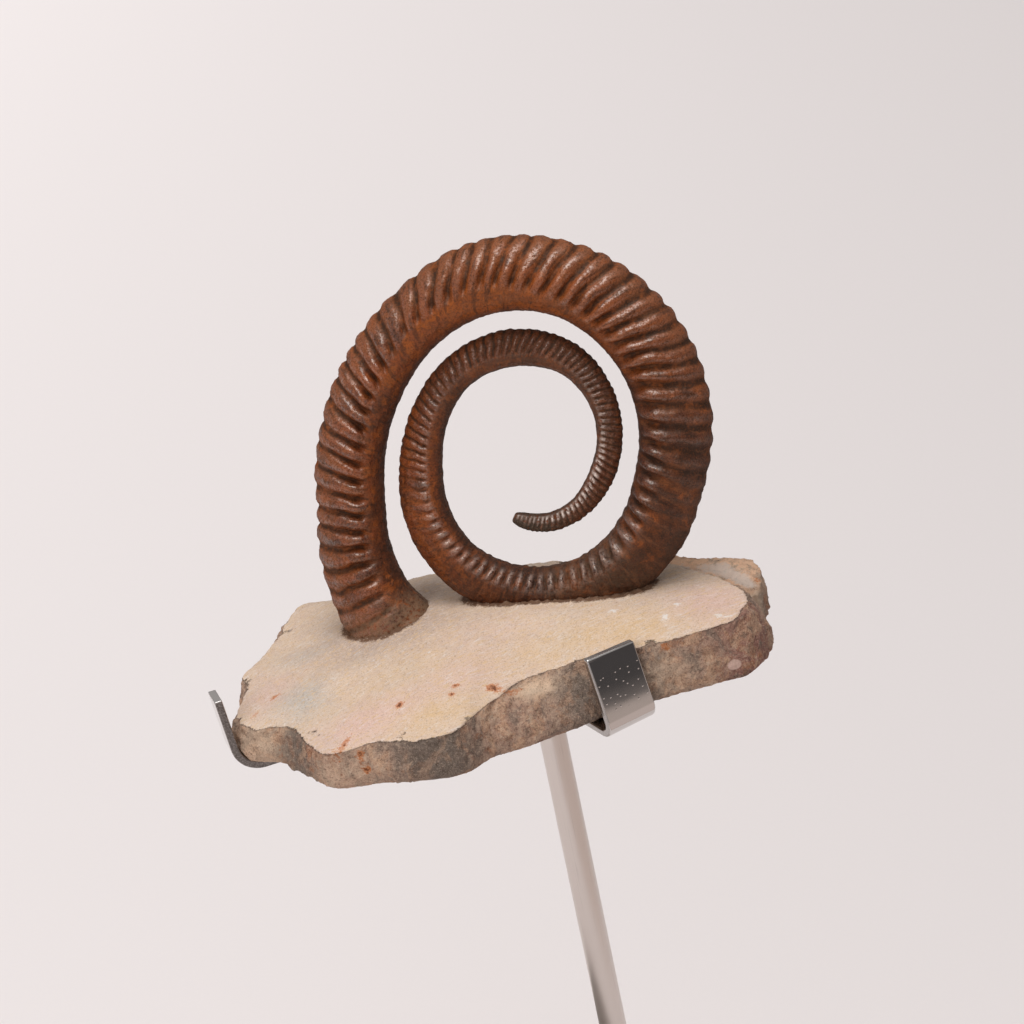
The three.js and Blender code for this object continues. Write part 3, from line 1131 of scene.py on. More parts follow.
    def carve(self, noise: Noise, arc: Array, out: Array, across: Array) -> tuple[Array, Marks]:
        """Carve the ribs.

        Args:
            noise: the shell's noise.
            arc: the rings' arc lengths, one a row.
            out: each point's place on its section.
            across: how far each point is across the coil's plane, -1 to 1.

        Returns:
            The share of the section that is left at each point, and the finish's marks.
        """
        skin = np.stack([arc + 0 * out, self.girth * out, self.girth * across], axis=-1)
        broad, middle, fine = (noise.at(skin.reshape(-1, 3), size).reshape(out.shape)
                               for size in self.stray_sizes)
        stray = self.stray * self.follow(arc)[2] * (broad + self.fine_stray * fine)
        number = along(self.ribs_passed, arc + stray)
        valley = (0.5 - 0.5 * np.cos(2 * np.pi * number)) ** along(self.fullness, arc)
        fade = along(self.fades, arc)
        worn = along(self.rests, arc) * rise(*self.rest_places, out)
        strength = rise(*self.fade_edge, out - fade) * (1 - worn)
        uneven = 1 + self.unevenness * middle
        groove = valley * strength
        depth = along(self.depths, arc) * uneven * groove * along(self.reliefs, out)
        knob = np.exp(-((out - fade - self.knob_reach) / self.knob_width) ** 2) * (1 - valley)
        knob = knob * rise(*self.knobs_come, arc) * rise(*self.knobs_go, arc)
        marks = self.mark(arc, out, groove, strength, knob)
        marks.update(ribs=number, out=out, across=across)
        return 1 - depth + self.knob_height * knob * uneven, marks

    def roughen(self, noise: Noise, rings: Array, arc: Array, radius: Array) -> Array:
        """Roughen the skin.

        Args:
            noise: the shell's noise.
            rings: the smooth skin's points, rings by sides by three.
            arc: the rings' arc lengths, one a row.
            radius: the rings' radii, one a row.

        Returns:
            How far each point is pushed out.
        """
        skin = rings.reshape(-1, 3)
        shape = rings.shape[:2]
        bumps = sum(layer.on(noise, skin) for layer in self.bumps).reshape(shape)
        calm = self.calm + (1 - self.calm) * rise(0, self.calm_tip, arc)
        lumps = (self.bump * bumps * calm - 0.5 * self.bump) * along(self.roughness, arc)
        lumps = lumps * np.sqrt(np.clip(radius / self.bump_radius, self.least_bumps, 1))
        return lumps + rise(*self.crumb_span, arc) * self.crumbs.on(noise, skin).reshape(shape)

    def mark(self, arc: Array, out: Array, groove: Array, strength: Array, knob: Array) -> Marks:
        """Work out what the finish needs to know.

        Args:
            arc: the rings' arc lengths, one a row.
            out: each point's place on its section.
            groove: how deep in a groove each point is, 0 to 1.
            strength: how strong the ribs are there, 0 to 1.
            knob: how much each point belongs to a knob, 0 to 1.

        Returns:
            The marks, by their names.
        """
        # The shine feeds the crests' real wax and polish, and also the highlight painted on them.
        shine = along(self.shine, arc) + self.knob_shine * knob
        # Painted glints: where the pale flecks that stand for highlights lie on the rib crests.
        pale = along(self.painted_glints, arc) * strength * (1 - groove) ** self.glint_edge
        glint_in, glint_out = (rise(*places, out) for places in self.glint_places)
        # Painted shade: the section's inner side is darkened where the inner coil shades it.
        inner_shade = self.inner_shade * rise(*self.inner_shade_places, out)
        inner_ash, outer_ash = self.ash_shares
        ash = inner_ash + outer_ash * rise(*self.ash_places, out)
        coil_ash = self.coil_ash * rise(*self.coil_ash_span, arc)
        bed = rise(*self.bed_comes, arc) * rise(*self.bed_goes, arc)
        dusty = self.foot_dust * rise(*self.foot_dust_span, arc) + self.bed_dust * bed
        worn = self.worn_dust * along(self.rests, arc) * rise(*self.worn_places, out)
        return {
            "groove": groove,
            "crest": shine * strength * (1 - groove) ** self.shine_edge,
            "inner": (1 - strength) * rise(*self.inner_places, out) * along(self.rusting, arc),
            "outer": rise(*self.outer_places, out) * rise(*self.outer_span, arc),
            "rim": rise(*self.rim_places, np.abs(out)),
            "dark": np.clip(along(self.darkness, arc) + inner_shade, 0, 1),
            "warm": along(self.warmth, arc),
            "pale": pale * glint_in * glint_out,
            "ashen": rise(*self.ash_span, arc) * ash + coil_ash,
            "dusty": dusty + worn,
        }

    def gap_to(self, points: Array) -> Array:
        """Measure how far some points are outside the shell's skin.

        Args:
            points: the points, in the slab's frame.

        Returns:
            One distance for each point, below 0 inside the shell.
        """
        nearest = np.full(len(points), np.inf)
        for arc in np.arange(self.near_slab, self.length, self.gap_step):
            spot, _, radius = self.follow(np.array([arc]))
            away = np.linalg.norm(points - self.stand(spot), axis=1) - radius
            nearest = np.minimum(nearest, away)
        return nearest

    def stand(self, points: Array) -> Array:
        """Stand the coil's plane on the slab.

        Args:
            points: some points in the coil's plane's frame.

        Returns:
            The same points in the slab's frame.
        """
        turn = np.array(Matrix.Translation(self.pole)
                        @ Matrix.Rotation(-math.radians(self.yaw), 4, "Z")
                        @ Matrix.Rotation(-math.radians(self.lean_back), 4, "X"))
        return points @ turn[:3, :3].T + turn[:3, 3]


# The slab -----------------------------------------------------------------------------------


@dataclass
class Rock:
    """A stone with a domed top: a rim, a crown and a flat underside.

    Each point of the rim has its x, y and height, and how far the foot of the broken side
    stands out beyond it.
    """

    rim: Sequence[Sequence[float]]
    centre: tuple[float, float]
    crown: float
    bottom: float
    count: int = 420
    dome_power: float = 1.7
    side_steps: int = 24
    top_steps: int = 64
    # By share of the side's height, how far it is set in.
    insets: Corners = ((0, 2.5), (0.12, 0.4), (0.4, -0.3), (0.72, 0), (1, 0))

    def __post_init__(self) -> None:
        """Walk round the rim."""
        shares = np.arange(self.count) / self.count
        crest = through([point[:3] for point in self.rim], shares, closed=True)
        self.spread = through([point[3:] for point in self.rim], shares, closed=True)[:, 0]
        reach = crest[:, :2] - self.centre
        self.turn = np.arctan2(reach[:, 1], reach[:, 0])
        self.length = np.linalg.norm(reach, axis=1)
        self.heading = reach / self.length[:, None]
        self.edge = crest[:, 2]

    def ring(self, length: Array, height: Array) -> Array:
        """One ring of points at a distance from the centre."""
        flat = self.heading * np.broadcast_to(length, self.length.shape)[:, None] + self.centre
        return np.column_stack([flat, np.broadcast_to(height, self.length.shape)])

    def build(self) -> tuple[Array, list[list[int]]]:
        """Lay the stone's rings, from the underside up the side and over the top.

        Returns:
            The points and the faces.
        """
        rings = []
        for share in np.linspace(0, 1, self.side_steps):
            length = self.length + self.spread * (1 - share ** 2) - along(self.insets, share)
            rings.append(self.ring(length, self.bottom + (self.edge - self.bottom) * share))
        for share in np.linspace(1, 0, self.top_steps)[1:-1]:
            rings.append(self.ring(self.length * share, self.dome(share, self.edge)))
        axis = np.array([[*self.centre, self.bottom], [*self.centre, self.crown]])
        return closed_tube(np.array(rings), axis[0], axis[1])

    def dome(self, share: Any, edge: Array) -> Array:
        """The top's height at a share of the way from the centre to an edge of some height."""
        return self.crown - (self.crown - edge) * share ** self.dome_power

    def top_at(self, points: Array) -> tuple[Array, Array]:
        """Find the top over some points.

        Args:
            points: the points, one a row.

        Returns:
            The top's height over each of them, and how near the rim it is, 1 on it.
        """
        away = points[:, :2] - self.centre
        turn = np.arctan2(away[:, 1], away[:, 0])
        length, edge = (np.interp(turn, self.turn, values, period=2 * np.pi)
                        for values in (self.length, self.edge))
        share = np.linalg.norm(away, axis=1) / length
        return self.dome(np.minimum(share, 1), edge), share


@dataclass(frozen=True)
class Spot:
    """A soft patch on the slab: its middle, its half-lengths, its turn and its strength.

    A patch with a height and a depth of its own covers no more than that much of a side.
    """

    x: float
    y: float
    long: float
    short: float
    turn: float = 0.0
    strength: float = 1.0
    height: float = 14.0
    deep: float = 1e3

    def cover(self, points: Array) -> Array:
        """Measure the patch's cover.

        Args:
            points: the slab's points, one a row.

        Returns:
            How strongly it covers each of them.
        """
        turn = math.radians(self.turn)
        dx, dy, dz = (points - (self.x, self.y, self.height)).T
        along_it = (dx * math.cos(turn) + dy * math.sin(turn)) / self.long
        across_it = (dy * math.cos(turn) - dx * math.sin(turn)) / self.short
        return self.strength * np.exp(-(along_it ** 2 + across_it ** 2 + (dz / self.deep) ** 2))


@dataclass
class Slab:
    """The limestone slab: a domed block with a rough lower ledge at its back right."""

    clips: Sequence["Clip"]
    shell: Shell
    block: Rock = field(default_factory=lambda: Rock(
        rim=(
            (-67, -7, 8, 1), (-68, -19, 8, 2.5), (-64.5, -24, 8.4, 2.5), (-56, -27, 9, 3.5),
            (-51, -36, 9.5, 1.5), (-45.5, -43, 9.8, 0.8), (-35, -42.8, 10.5, 2),
            (-25.5, -45.95, 11.3, 0.6), (-16, -45, 12, 1), (-10.5, -38, 12.3, 3.5),
            (-1, -29.5, 13, 8.5), (8, -26.8, 13.3, 7.5), (17, -24.8, 13.6, 5.5),
            (26, -24.7, 13.9, 3.5), (34, -23.8, 14.2, 2), (43, -21.8, 14.5, 2),
            (47.5, -20.5, 14.7, 2.5), (50.5, -14, 14.9, 3.5), (50.5, -9, 14.8, 4.2),
            (47.5, -3, 14.5, 5), (41, 6, 13.8, 3), (30, 15, 13.4, 2), (18, 21, 13, 2),
            (7, 24, 12.8, 2), (-7, 26.5, 12.2, 1.5), (-23, 30, 11.2, 1), (-36, 29, 10.5, 1),
            (-47, 28.5, 9.6, 0.5), (-54, 29, 9.2, 0.5), (-58.5, 22, 8.8, 1), (-60, 15, 8.7, 1.5),
            (-63.5, 8, 8.3, 1.5), (-68, 1, 8, 0.5),
        ),
        centre=(-8, -4), crown=17.8, bottom=0.0,
    ))
    ledge: Rock = field(default_factory=lambda: Rock(
        rim=(
            (51.5, -3, 10.6, 0.5), (53.2, 0, 11, 0.5), (53.8, 6, 11.6, 0.5), (52, 11, 12, 0.5),
            (43, 15.5, 12, 1), (33, 19.5, 12, 1), (22, 22, 11.5, 0.5), (20, 8, 11.5, 0),
            (36, -6, 11.5, 0),
        ),
        centre=(38, 6), crown=12.6, bottom=0.8, count=160, side_steps=16, top_steps=24,
    ))
    voxel: float = 0.52
    seed: int = 19
    # The broken side: its lumps, crags and grit, and how far they are sunk in all.
    lumps: Bumps = Bumps(9.0, 2, 0.55)
    crags: Bumps = Bumps(4.2, 3, 1, 40)
    crag_height: float = 0.4
    grit: Bumps = Bumps(1.5, 2, 1, -70)
    grit_height: float = 0.35
    sunk: float = 0.6
    # The scraped top: its waves and its grit.
    waves: Bumps = Bumps(14.0, 2, 0.3)
    scraped_grit: float = 0.06
    # The crumbs of rock that still cling to the shell: their size, how far they sink, how near
    # the shell they are, and how much their ground faces up.
    crumbs: Bumps = Bumps(1.3, 2, 0.9, 20)
    crumb_sink: float = 0.1
    crumb_reach: Span = (2.0, 0.2)
    crumb_ground: Span = (0.3, 0.8)
    # The edge between top and side: its raggedness, the drop below the top at which the side
    # begins, and where near the rim it may.
    ragged: Bumps = Bumps(5.0, 4)
    ragged_drop: float = 0.3
    ragged_rim: float = 0.014
    edge_drop: Span = (0.0, 0.55)
    near_rim: Span = (0.90, 0.93)
    on_rim: Span = (0.982, 0.994)
    # The underside: what faces down this much is flat, but for a little grit.
    underside: Span = (-0.75, -0.95)
    underside_grit: float = 0.12
    spots: dict[str, Sequence[Spot]] = field(default_factory=lambda: {
        "cloud": (
            Spot(30, 16, 12, 4, -15, 0.4), Spot(-51, -20, 6.5, 7.5, 30, 0.9),
            Spot(-51, -1, 6, 4, 10, 0.6), Spot(-36, -8, 8, 3.5, 40, 0.3),
            Spot(-18, 16, 20, 8, 0, 0.5), Spot(-54, 8, 12, 12, 0, 0.15),
            Spot(-30, 22, 22, 7, 0, 0.1), Spot(20, 12, 22, 6, -10, 0.3),
        ),
        # Partly painted shade: the haze patches behind the shell and round its foot lie where its
        # shadow falls.
        "haze": (
            Spot(-33, -2, 17, 12, 0, 1.1), Spot(-44, 12, 12, 9, 30, 0.05),
            Spot(-16, 18, 18, 9, 0, 0.9), Spot(24, 8, 20, 8, -15, 0.6),
        ),
        "pink": (
            Spot(-38, -36, 14, 7, 20, 1.0), Spot(-60, -12, 7, 9, 0, 0.8),
            Spot(-14, -28, 12, 7, 20, 0.6), Spot(42, -12, 10, 9, 0, 1.0),
            Spot(-10, -14, 14, 8, 0, 0.4),
        ),
        "honey": (
            Spot(-20, -38, 9, 5, 15, 0.8), Spot(6, -20, 16, 5, 12, 0.6),
            Spot(26, -19, 12, 5, 5, 0.7), Spot(-26, -20, 12, 6, 30, 0.4),
        ),
        "rust": (
            Spot(-58.3, -14.6, 1.7, 1.0, 40, 0.8), Spot(-28.9, -32.4, 1.2, 1.0, 60),
            Spot(-63, -19.2, 2.2, 0.7, 50, 0.6), Spot(-41.4, -41, 3.2, 0.9, 60, 0.7),
            Spot(-15.9, -30.6, 1.1, 0.8, 0), Spot(-16.8, -33.4, 1.0, 0.8, 20),
            Spot(-7.8, -31.5, 1.8, 1.3, 0, 1.1), Spot(-3.5, -32, 3, 0.9, 20, 0.6),
            Spot(31, -24.5, 1.6, 1.2, 0, 0.75, 13, 1.2),
            Spot(-38.3, -43.4, 1.2, 1.2, 0, 0.9, 8.6, 1.5),
            Spot(-37.7, -44, 1.2, 1.2, 0, 0.9, 5, 1.4), Spot(52.4, 2.5, 2.2, 2.6, 0, 0.4),
            Spot(37, 15, 4, 2.2, -20, 0.3), Spot(-52, -9, 5, 1.1, 55, 0.3),
            Spot(15.4, -7.7, 2.6, 0.9, -35, 0.4), Spot(-58, -29, 1.2, 2.5, 0, 0.35, 4, 4),
            Spot(-44.5, -43, 4, 1.6, 40, 0.35, 9.5, 2.5),
        ),
        "pebble": (Spot(45.2, -22.3, 1.8, 1.8, 0, 1, 4.2, 1.6),),
        "chalk": (
            Spot(20, -11.5, 1.8, 1.0, 10), Spot(34.6, -11.8, 1.5, 1.1, 0),
            Spot(31.5, -16, 1.4, 1.6, 0), Spot(43.4, -18.2, 1.2, 1.4, 10),
            Spot(45.6, -18.9, 1.3, 0.6, 10), Spot(-28, -34, 0.9, 0.6, 0, 0.8),
            Spot(-22, -16, 1.2, 0.7, 0, 0.7), Spot(-10, -24, 1.1, 0.7, 0, 0.7),
        ),
        "flat": (
            Spot(44.5, 8.5, 7.5, 3.0, -42, 0.9), Spot(49.5, 2, 4, 1.6, -50, 0.8),
            Spot(35.5, 11, 4, 1.6, -30, 0.8),
        ),
        # The next patches are painted light: they lighten the ledge and side faces that the lamps
        # leave dim.
        "pale_and_painted_light": (
            Spot(42, 8, 14, 9, -25, 0.6, 13, 5), Spot(2, -31, 6, 3.0, 10, 0.9, 11.5, 1.6),
            Spot(-61, -25, 8, 6, 0, 0.5, 4, 7), Spot(-44, -44, 8, 5, 0, 0.5, 5, 7),
            Spot(30, -25, 6, 5, 0, 0.35, 6, 6),
        ),
        "ledge": (Spot(40, 9, 16, 9, -25, 1.2, 12, 3),),
        "slate": (
            Spot(53, -1, 2.0, 4.0, 0, 0.8, 9, 4), Spot(-22, -47, 9, 6, 0, 1.2),
            Spot(-55, -32, 7.5, 6, 0, 1.35), Spot(12, -30, 9, 6, 0, 1.0),
            Spot(26, -26, 5, 4, 0, 0.6),
        ),
        "mauve": (
            Spot(50, -18, 9, 8, 0, 1.5), Spot(-6, -34, 8, 5, 0, 0.45),
            Spot(-44, -45, 6, 4, 0, 1.0),
        ),
        "rind": (
            Spot(50.9, -3.4, 3.4, 0.8, 36, 1, 11, 6),
            Spot(0.5, -31, 4.5, 1.2, 15, 0.8, 10.8, 0.7),
        ),
    })

    def build(self) -> bpy.types.Object:
        """Join the block and the ledge, roughen the stone and keep its marks.

        Returns:
            The slab, in its place.
        """
        points, faces = self.block.build()
        more_points, more_faces = self.ledge.build()
        faces = faces + [[index + len(points) for index in face] for face in more_faces]
        mesh = make_mesh("limestone_slab", np.vstack([points, more_points]), faces)
        piece = place(mesh, Matrix.Identity(4))
        remesh = piece.modifiers.new("even skin", "REMESH")
        remesh.mode = "VOXEL"
        remesh.voxel_size = self.voxel * MM
        bake_modifiers(piece)
        mesh = piece.data
        shade_smooth(mesh)
        smooth, facing = points_of(mesh), vectors_of(mesh.vertex_normals, "vector")
        near_shell = rise(*self.crumb_reach, self.shell.gap_to(smooth))
        marks = {
            "side": self.sidedness(smooth),
            "crumbs": near_shell * rise(*self.crumb_ground, facing[:, 2]),
        }
        rough = self.roughen(smooth, facing, marks["side"], marks["crumbs"])
        mesh.vertices.foreach_set("co", (rough * MM).ravel())
        mesh.update()
        for name, spots in self.spots.items():
            marks[name] = np.clip(sum(spot.cover(smooth) for spot in spots), 0, 1)
        note(mesh, marks)
        mesh.transform(LEAN.frame)
        return piece

    def sidedness(self, points: Array) -> Array:
        """Tell the broken stone from the scraped top.

        Args:
            points: the smooth stone's points.

        Returns:
            How far each point belongs to the broken stone, 0 to 1.
        """
        top, share = self.block.top_at(points)
        ragged = self.ragged.on(Noise(self.seed + 1), points)
        drop = top - points[:, 2] + self.ragged_drop * ragged
        below = rise(*self.edge_drop, drop) * rise(*self.near_rim, share)
        return np.maximum(below, rise(*self.on_rim, share + self.ragged_rim * ragged))

    def roughen(self, points: Array, facing: Array, side: Array, crumbs: Array) -> Array:
        """Push the stone's points in and out, clear of the steel strips.

        Args:
            points: the smooth stone's points.
            facing: the normal at each point.
            side: how far each point belongs to the broken stone.
            crumbs: how much rock still clings to the shell at each point.

        Returns:
            The points of the rough stone.
        """
        noise = Noise(self.seed)
        grit = self.grit.on(noise, points)
        crags = self.crag_height * (1 - 2 * np.abs(self.crags.on(noise, points)))
        broken = self.lumps.on(noise, points) + crags + self.grit_height * grit - self.sunk
        scraped = self.waves.on(noise, points) + self.scraped_grit * grit
        push = side * broken + (1 - side) * scraped
        push = push + crumbs * np.maximum(self.crumbs.on(noise, points), -self.crumb_sink)
        flat = rise(*self.underside, facing[:, 2])
        push = push * (1 - flat) - flat * self.underside_grit * (1 + grit)
        rough = points + facing * push[:, None]
        for clip in self.clips:
            rough = clip.clear(rough)
        rough[:, 2] = np.maximum(rough[:, 2], 0.0)
        return rough


# The stand ----------------------------------------------------------------------------------


GAP = 0.3


@dataclass
class Clip:
    """A steel strip that runs out from the hub under the slab and bends up at its edge.

    Its sizes are in millimetres. turn is the way it runs out, and lean is how far its upright
    leans outwards, both in degrees; skew is how much lower one corner of its tip is.
    """

    name: str
    turn: float
    width: float
    reach: float
    tip: float
    lean: float
    bend: float
    skew: float = 0.0
    thick: float = 1.8
    start: float = 8.0
    bend_steps: int = 28
    rounding: float = 0.3
    # How much the side edges are rubbed, which roughens them and also paints them darker as a
    # dark reflection.
    wear_and_painted_dark_edge: float = 0.0
    beaded: float = 0.0
    # How clear the slab's stone stays of the strip, and how far beside the strip and above
    # its tip it is still pushed back.
    clearance: float = 0.2
    beside: Span = (0.9, 0.3)
    over_tip: float = 1.0

    @property
    def slope(self) -> float:
        """The upright's angle above the strip's arm, in radians."""
        return math.radians(90 - self.lean)

    @property
    def bend_centre(self) -> tuple[float, float]:
        """The middle of the bend, as reach and height."""
        return self.reach - self.thick - self.bend, self.bend - GAP

    def face(self, radius: float, height: float) -> float:
        """How far out the upright is.

        Args:
            radius: the radius at which the face leaves the bend.
            height: the height to look at.

        Returns:
            The face's distance from the hub's axis there.
        """
        x, z = self.bend_centre
        side_x = x + math.sin(self.slope) * radius
        side_z = z - math.cos(self.slope) * radius
        return side_x + (height - side_z) / math.tan(self.slope)

    def outline(self) -> list[tuple[float, float]]:
        """Draw the strip from the side.

        Returns:
            Its corners, as reach and height.
        """
        x, z = self.bend_centre
        arc = np.linspace(-math.pi / 2, self.slope - math.pi / 2, self.bend_steps)
        outer, inner = self.bend + self.thick, self.bend
        points = [(self.start, -GAP - self.thick)]
        points += [(x + outer * math.cos(a), z + outer * math.sin(a)) for a in arc]
        points += [(self.face(radius, self.tip), self.tip) for radius in (outer, inner)]
        points += [(x + inner * math.cos(a), z + inner * math.sin(a)) for a in arc[::-1]]
        return points + [(self.start, -GAP)]

    def build(self) -> bpy.types.Object:
        """Cut the strip to its width, round its edges and turn it into place.

        Returns:
            The strip, in its place.
        """
        sheet = bmesh.new()
        corners = [sheet.verts.new((x * MM, -self.width / 2 * MM, z * MM))
                   for x, z in self.outline()]
        front = sheet.faces.new(corners)
        back = bmesh.ops.extrude_face_region(sheet, geom=[front])["geom"]
        moved = [item for item in back if isinstance(item, bmesh.types.BMVert)]
        bmesh.ops.translate(sheet, verts=moved, vec=(0, self.width * MM, 0))
        for corner in sheet.verts:
            if corner.co.z > (self.tip - self.thick) * MM:
                corner.co.z -= self.skew * corner.co.y / self.width
        bmesh.ops.recalc_face_normals(sheet, faces=sheet.faces)
        mesh = bpy.data.meshes.new(self.name + "_strip")
        sheet.to_mesh(mesh)
        sheet.free()
        shade_smooth(mesh)
        piece = place(mesh, Matrix.Identity(4))
        soften(piece, self.rounding)
        _, across, up = points_of(piece.data).T
        note(piece.data, {
            "worn": np.full(len(up), self.wear_and_painted_dark_edge),
            "beaded": np.full(len(up), self.beaded),
            "across": across / self.width * 2,
            "below": self.tip - up,
        })
        piece.data.transform(LEAN.frame @ Matrix.Rotation(math.radians(self.turn), 4, "Z"))
        return piece

    def clear(self, points: Array) -> Array:
        """Push the slab's points back from the strip.

        Args:
            points: the slab's points, one a row.

        Returns:
            The same points, clear of the strip.
        """
        turn = math.radians(self.turn)
        heading = np.array([math.cos(turn), math.sin(turn), 0.0])
        sideways = np.array([-math.sin(turn), math.cos(turn), 0.0])
        ahead, across, height = points @ heading, points @ sideways, points[:, 2]
        x, z = self.bend_centre
        bend_top = z - math.cos(self.slope) * self.bend
        upright = self.face(self.bend, 0.0) + height / math.tan(self.slope)
        bent = x + np.sqrt(self.bend ** 2 - np.clip(z - height, 0, self.bend) ** 2)
        limit = np.where(height > bend_top, upright, bent) - self.clearance
        low, high = (self.width / 2 + part for part in self.beside)
        near = rise(low, high, np.abs(across)) * (ahead > 0) * (height < self.tip + self.over_tip)
        return points + (near * np.minimum(limit - ahead, 0))[:, None] * heading


def soften(piece: bpy.types.Object, width: float, steps: int = 3, sharp: float = 30) -> None:
    """Round a steel piece's edges.

    Args:
        piece: the piece.
        width: how far from an edge its rounding starts, in millimetres.
        steps: how many faces round an edge.
        sharp: the angle, in degrees, from which a corner counts as an edge.
    """
    bevel = piece.modifiers.new("rounded edges", "BEVEL")
    bevel.width = width * MM
    bevel.segments = steps
    bevel.limit_method = "ANGLE"
    bevel.angle_limit = math.radians(sharp)
    bevel.harden_normals = True
    bake_modifiers(piece)


@dataclass
class Turned:
    """A plain turned piece: a radius, a height and the round of both rims."""

    name: str
    radius: float
    height: float
    rounding: float
    steps: int = 96
    arc_steps: int = 5
    # The angle, in degrees, from which an edge is shaded sharp.
    sharp: float = 40

    def build(self, where: Matrix) -> bpy.types.Object:
        """Turn the piece.

        Args:
            where: its place in the object's frame.

        Returns:
            The piece, in its place.
        """
        arc = np.linspace(0, math.pi / 2, self.arc_steps)
        inner, fillet = self.radius - self.rounding, self.rounding
        low = [(inner + fillet * math.sin(a), fillet - fillet * math.cos(a)) for a in arc]
        high = [(r, self.height - z) for r, z in reversed(low)]
        profile = [(inner / 2, 0.0), *low, *high, (inner / 2, self.height)]
        turn = np.arange(self.steps) / self.steps * 2 * np.pi
        rings = np.array([
            np.stack([r * np.cos(turn), r * np.sin(turn), 0 * turn + z], axis=1)
            for r, z in profile
        ])
        points, faces = closed_tube(rings, np.zeros(3), np.array([0, 0, self.height]))
        mesh = make_mesh(self.name, points, faces)
        mesh.set_sharp_from_angle(angle=math.radians(self.sharp))
        note(mesh, {"worn": np.zeros(len(points))})
        return place(mesh, where)


@dataclass
class Stand:
    """The display stand: a round base, a leaning rod, a hub plate and three strips."""

    base_radius: float = 44.0
    base_round: float = 1.0
    base_steps: int = 160
    rod_radius: float = 3.175
    rod_socket: float = 7.0
    hub_radius: float = 14.0
    hub_thick: float = 2.0
    small_round: float = 0.3
    clips: Sequence[Clip] = field(default_factory=lambda: (
        Clip("left_clip", turn=198, width=6, reach=73.6, tip=17.7, lean=5, bend=5.4,
             wear_and_painted_dark_edge=1.0),
        Clip("front_clip", turn=303, width=12.7, reach=39.3, tip=17, lean=-15.5, bend=2,
             skew=0.7, rounding=0.55, wear_and_painted_dark_edge=0.5, beaded=1.0),
        Clip("back_clip", turn=48, width=6, reach=35, tip=11, lean=2, bend=2),
    ))

    def build(self) -> None:
        """Make the stand's pieces and dress them."""
        polished = SteelFinish(Sheen.POLISHED).make()
        satin = SteelFinish(Sheen.SATIN).make()
        for clip in self.clips:
            dress(clip.build(), polished, clip.name)
        hub_low = -GAP - self.clips[0].thick - GAP - self.hub_thick
        hub = Turned("hub_plate", self.hub_radius, self.hub_thick, self.small_round)
        hub_place = LEAN.frame @ Matrix.Translation((0, 0, hub_low * MM))
        dress(hub.build(hub_place), satin, "hub_disc")
        rod_top = hub_low - GAP
        length = LEAN.rise + rod_top + self.rod_socket
        foot = LEAN.frame @ Matrix.Translation((0, 0, (rod_top - length) * MM))
        rod = Turned("stand_rod", self.rod_radius, length, self.small_round)
        dress(rod.build(foot), satin, "rod")
        dress(self.base(length, foot), satin, "base_disc")

    def base(self, length: float, foot: Matrix) -> bpy.types.Object:
        """Turn the base and bore the rod's socket in it.

        Args:
            length: the rod's length, in millimetres.
            foot: the place of the rod's lower end.

        Returns:
            The base, in its place.
        """
        disc = Turned("stand_base", self.base_radius, LEAN.base_thick, self.base_round,
                      self.base_steps)
        piece = disc.build(Matrix.Identity(4))
        drill = Turned("drill", self.rod_radius + GAP, length, self.small_round)
        cutter = drill.build(foot @ Matrix.Translation((0, 0, -GAP * MM)))
        bore = piece.modifiers.new("socket", "BOOLEAN")
        bore.object = cutter
        bore.solver = "EXACT"
        bake_modifiers(piece)
        bpy.data.objects.remove(cutter)
        return piece


# The studio ---------------------------------------------------------------------------------


class Reach(Enum):
    """What a lamp lights: one piece alone, or all but that piece."""

    ONLY = "INCLUDE"
    ALL_BUT = "EXCLUDE"


@dataclass(frozen=True)
class Lamp:
    """A square soft light: where it hangs, its width, its power, and what it does.

    Places and the width are in metres and the power is in watts. A light with no shadow throws
    none, and one with no gloss isn't seen in polished pieces.
    """

    name: str
    spot: tuple[float, float, float]
    size: float
    power: float
    target: tuple[float, float, float] = (0.0, 0.0, 0.17)
    shadow: bool = True
    gloss: bool = True

    def hang(self, piece: bpy.types.Object, reach: Reach) -> None:
        """Hang the light.

        Args:
            piece: the piece that it is linked to.
            reach: whether it lights that piece alone or all but that piece.
        """
        light = bpy.data.lights.new(self.name, "AREA")
        light.size = self.size
        light.energy = self.power
        light.use_shadow = self.shadow
        lamp = bpy.data.objects.new(self.name, light)
        lamp.location = self.spot
        aim = Vector(self.target) - Vector(self.spot)
        lamp.rotation_euler = aim.to_track_quat("-Z", "Y").to_euler()
        lamp.visible_glossy = self.gloss
        bpy.context.scene.collection.objects.link(lamp)
        group = bpy.data.collections.new(self.name + " takers")
        group.objects.link(piece)
        group.collection_objects[0].light_linking.link_state = reach.value
        lamp.light_linking.receiver_collection = group


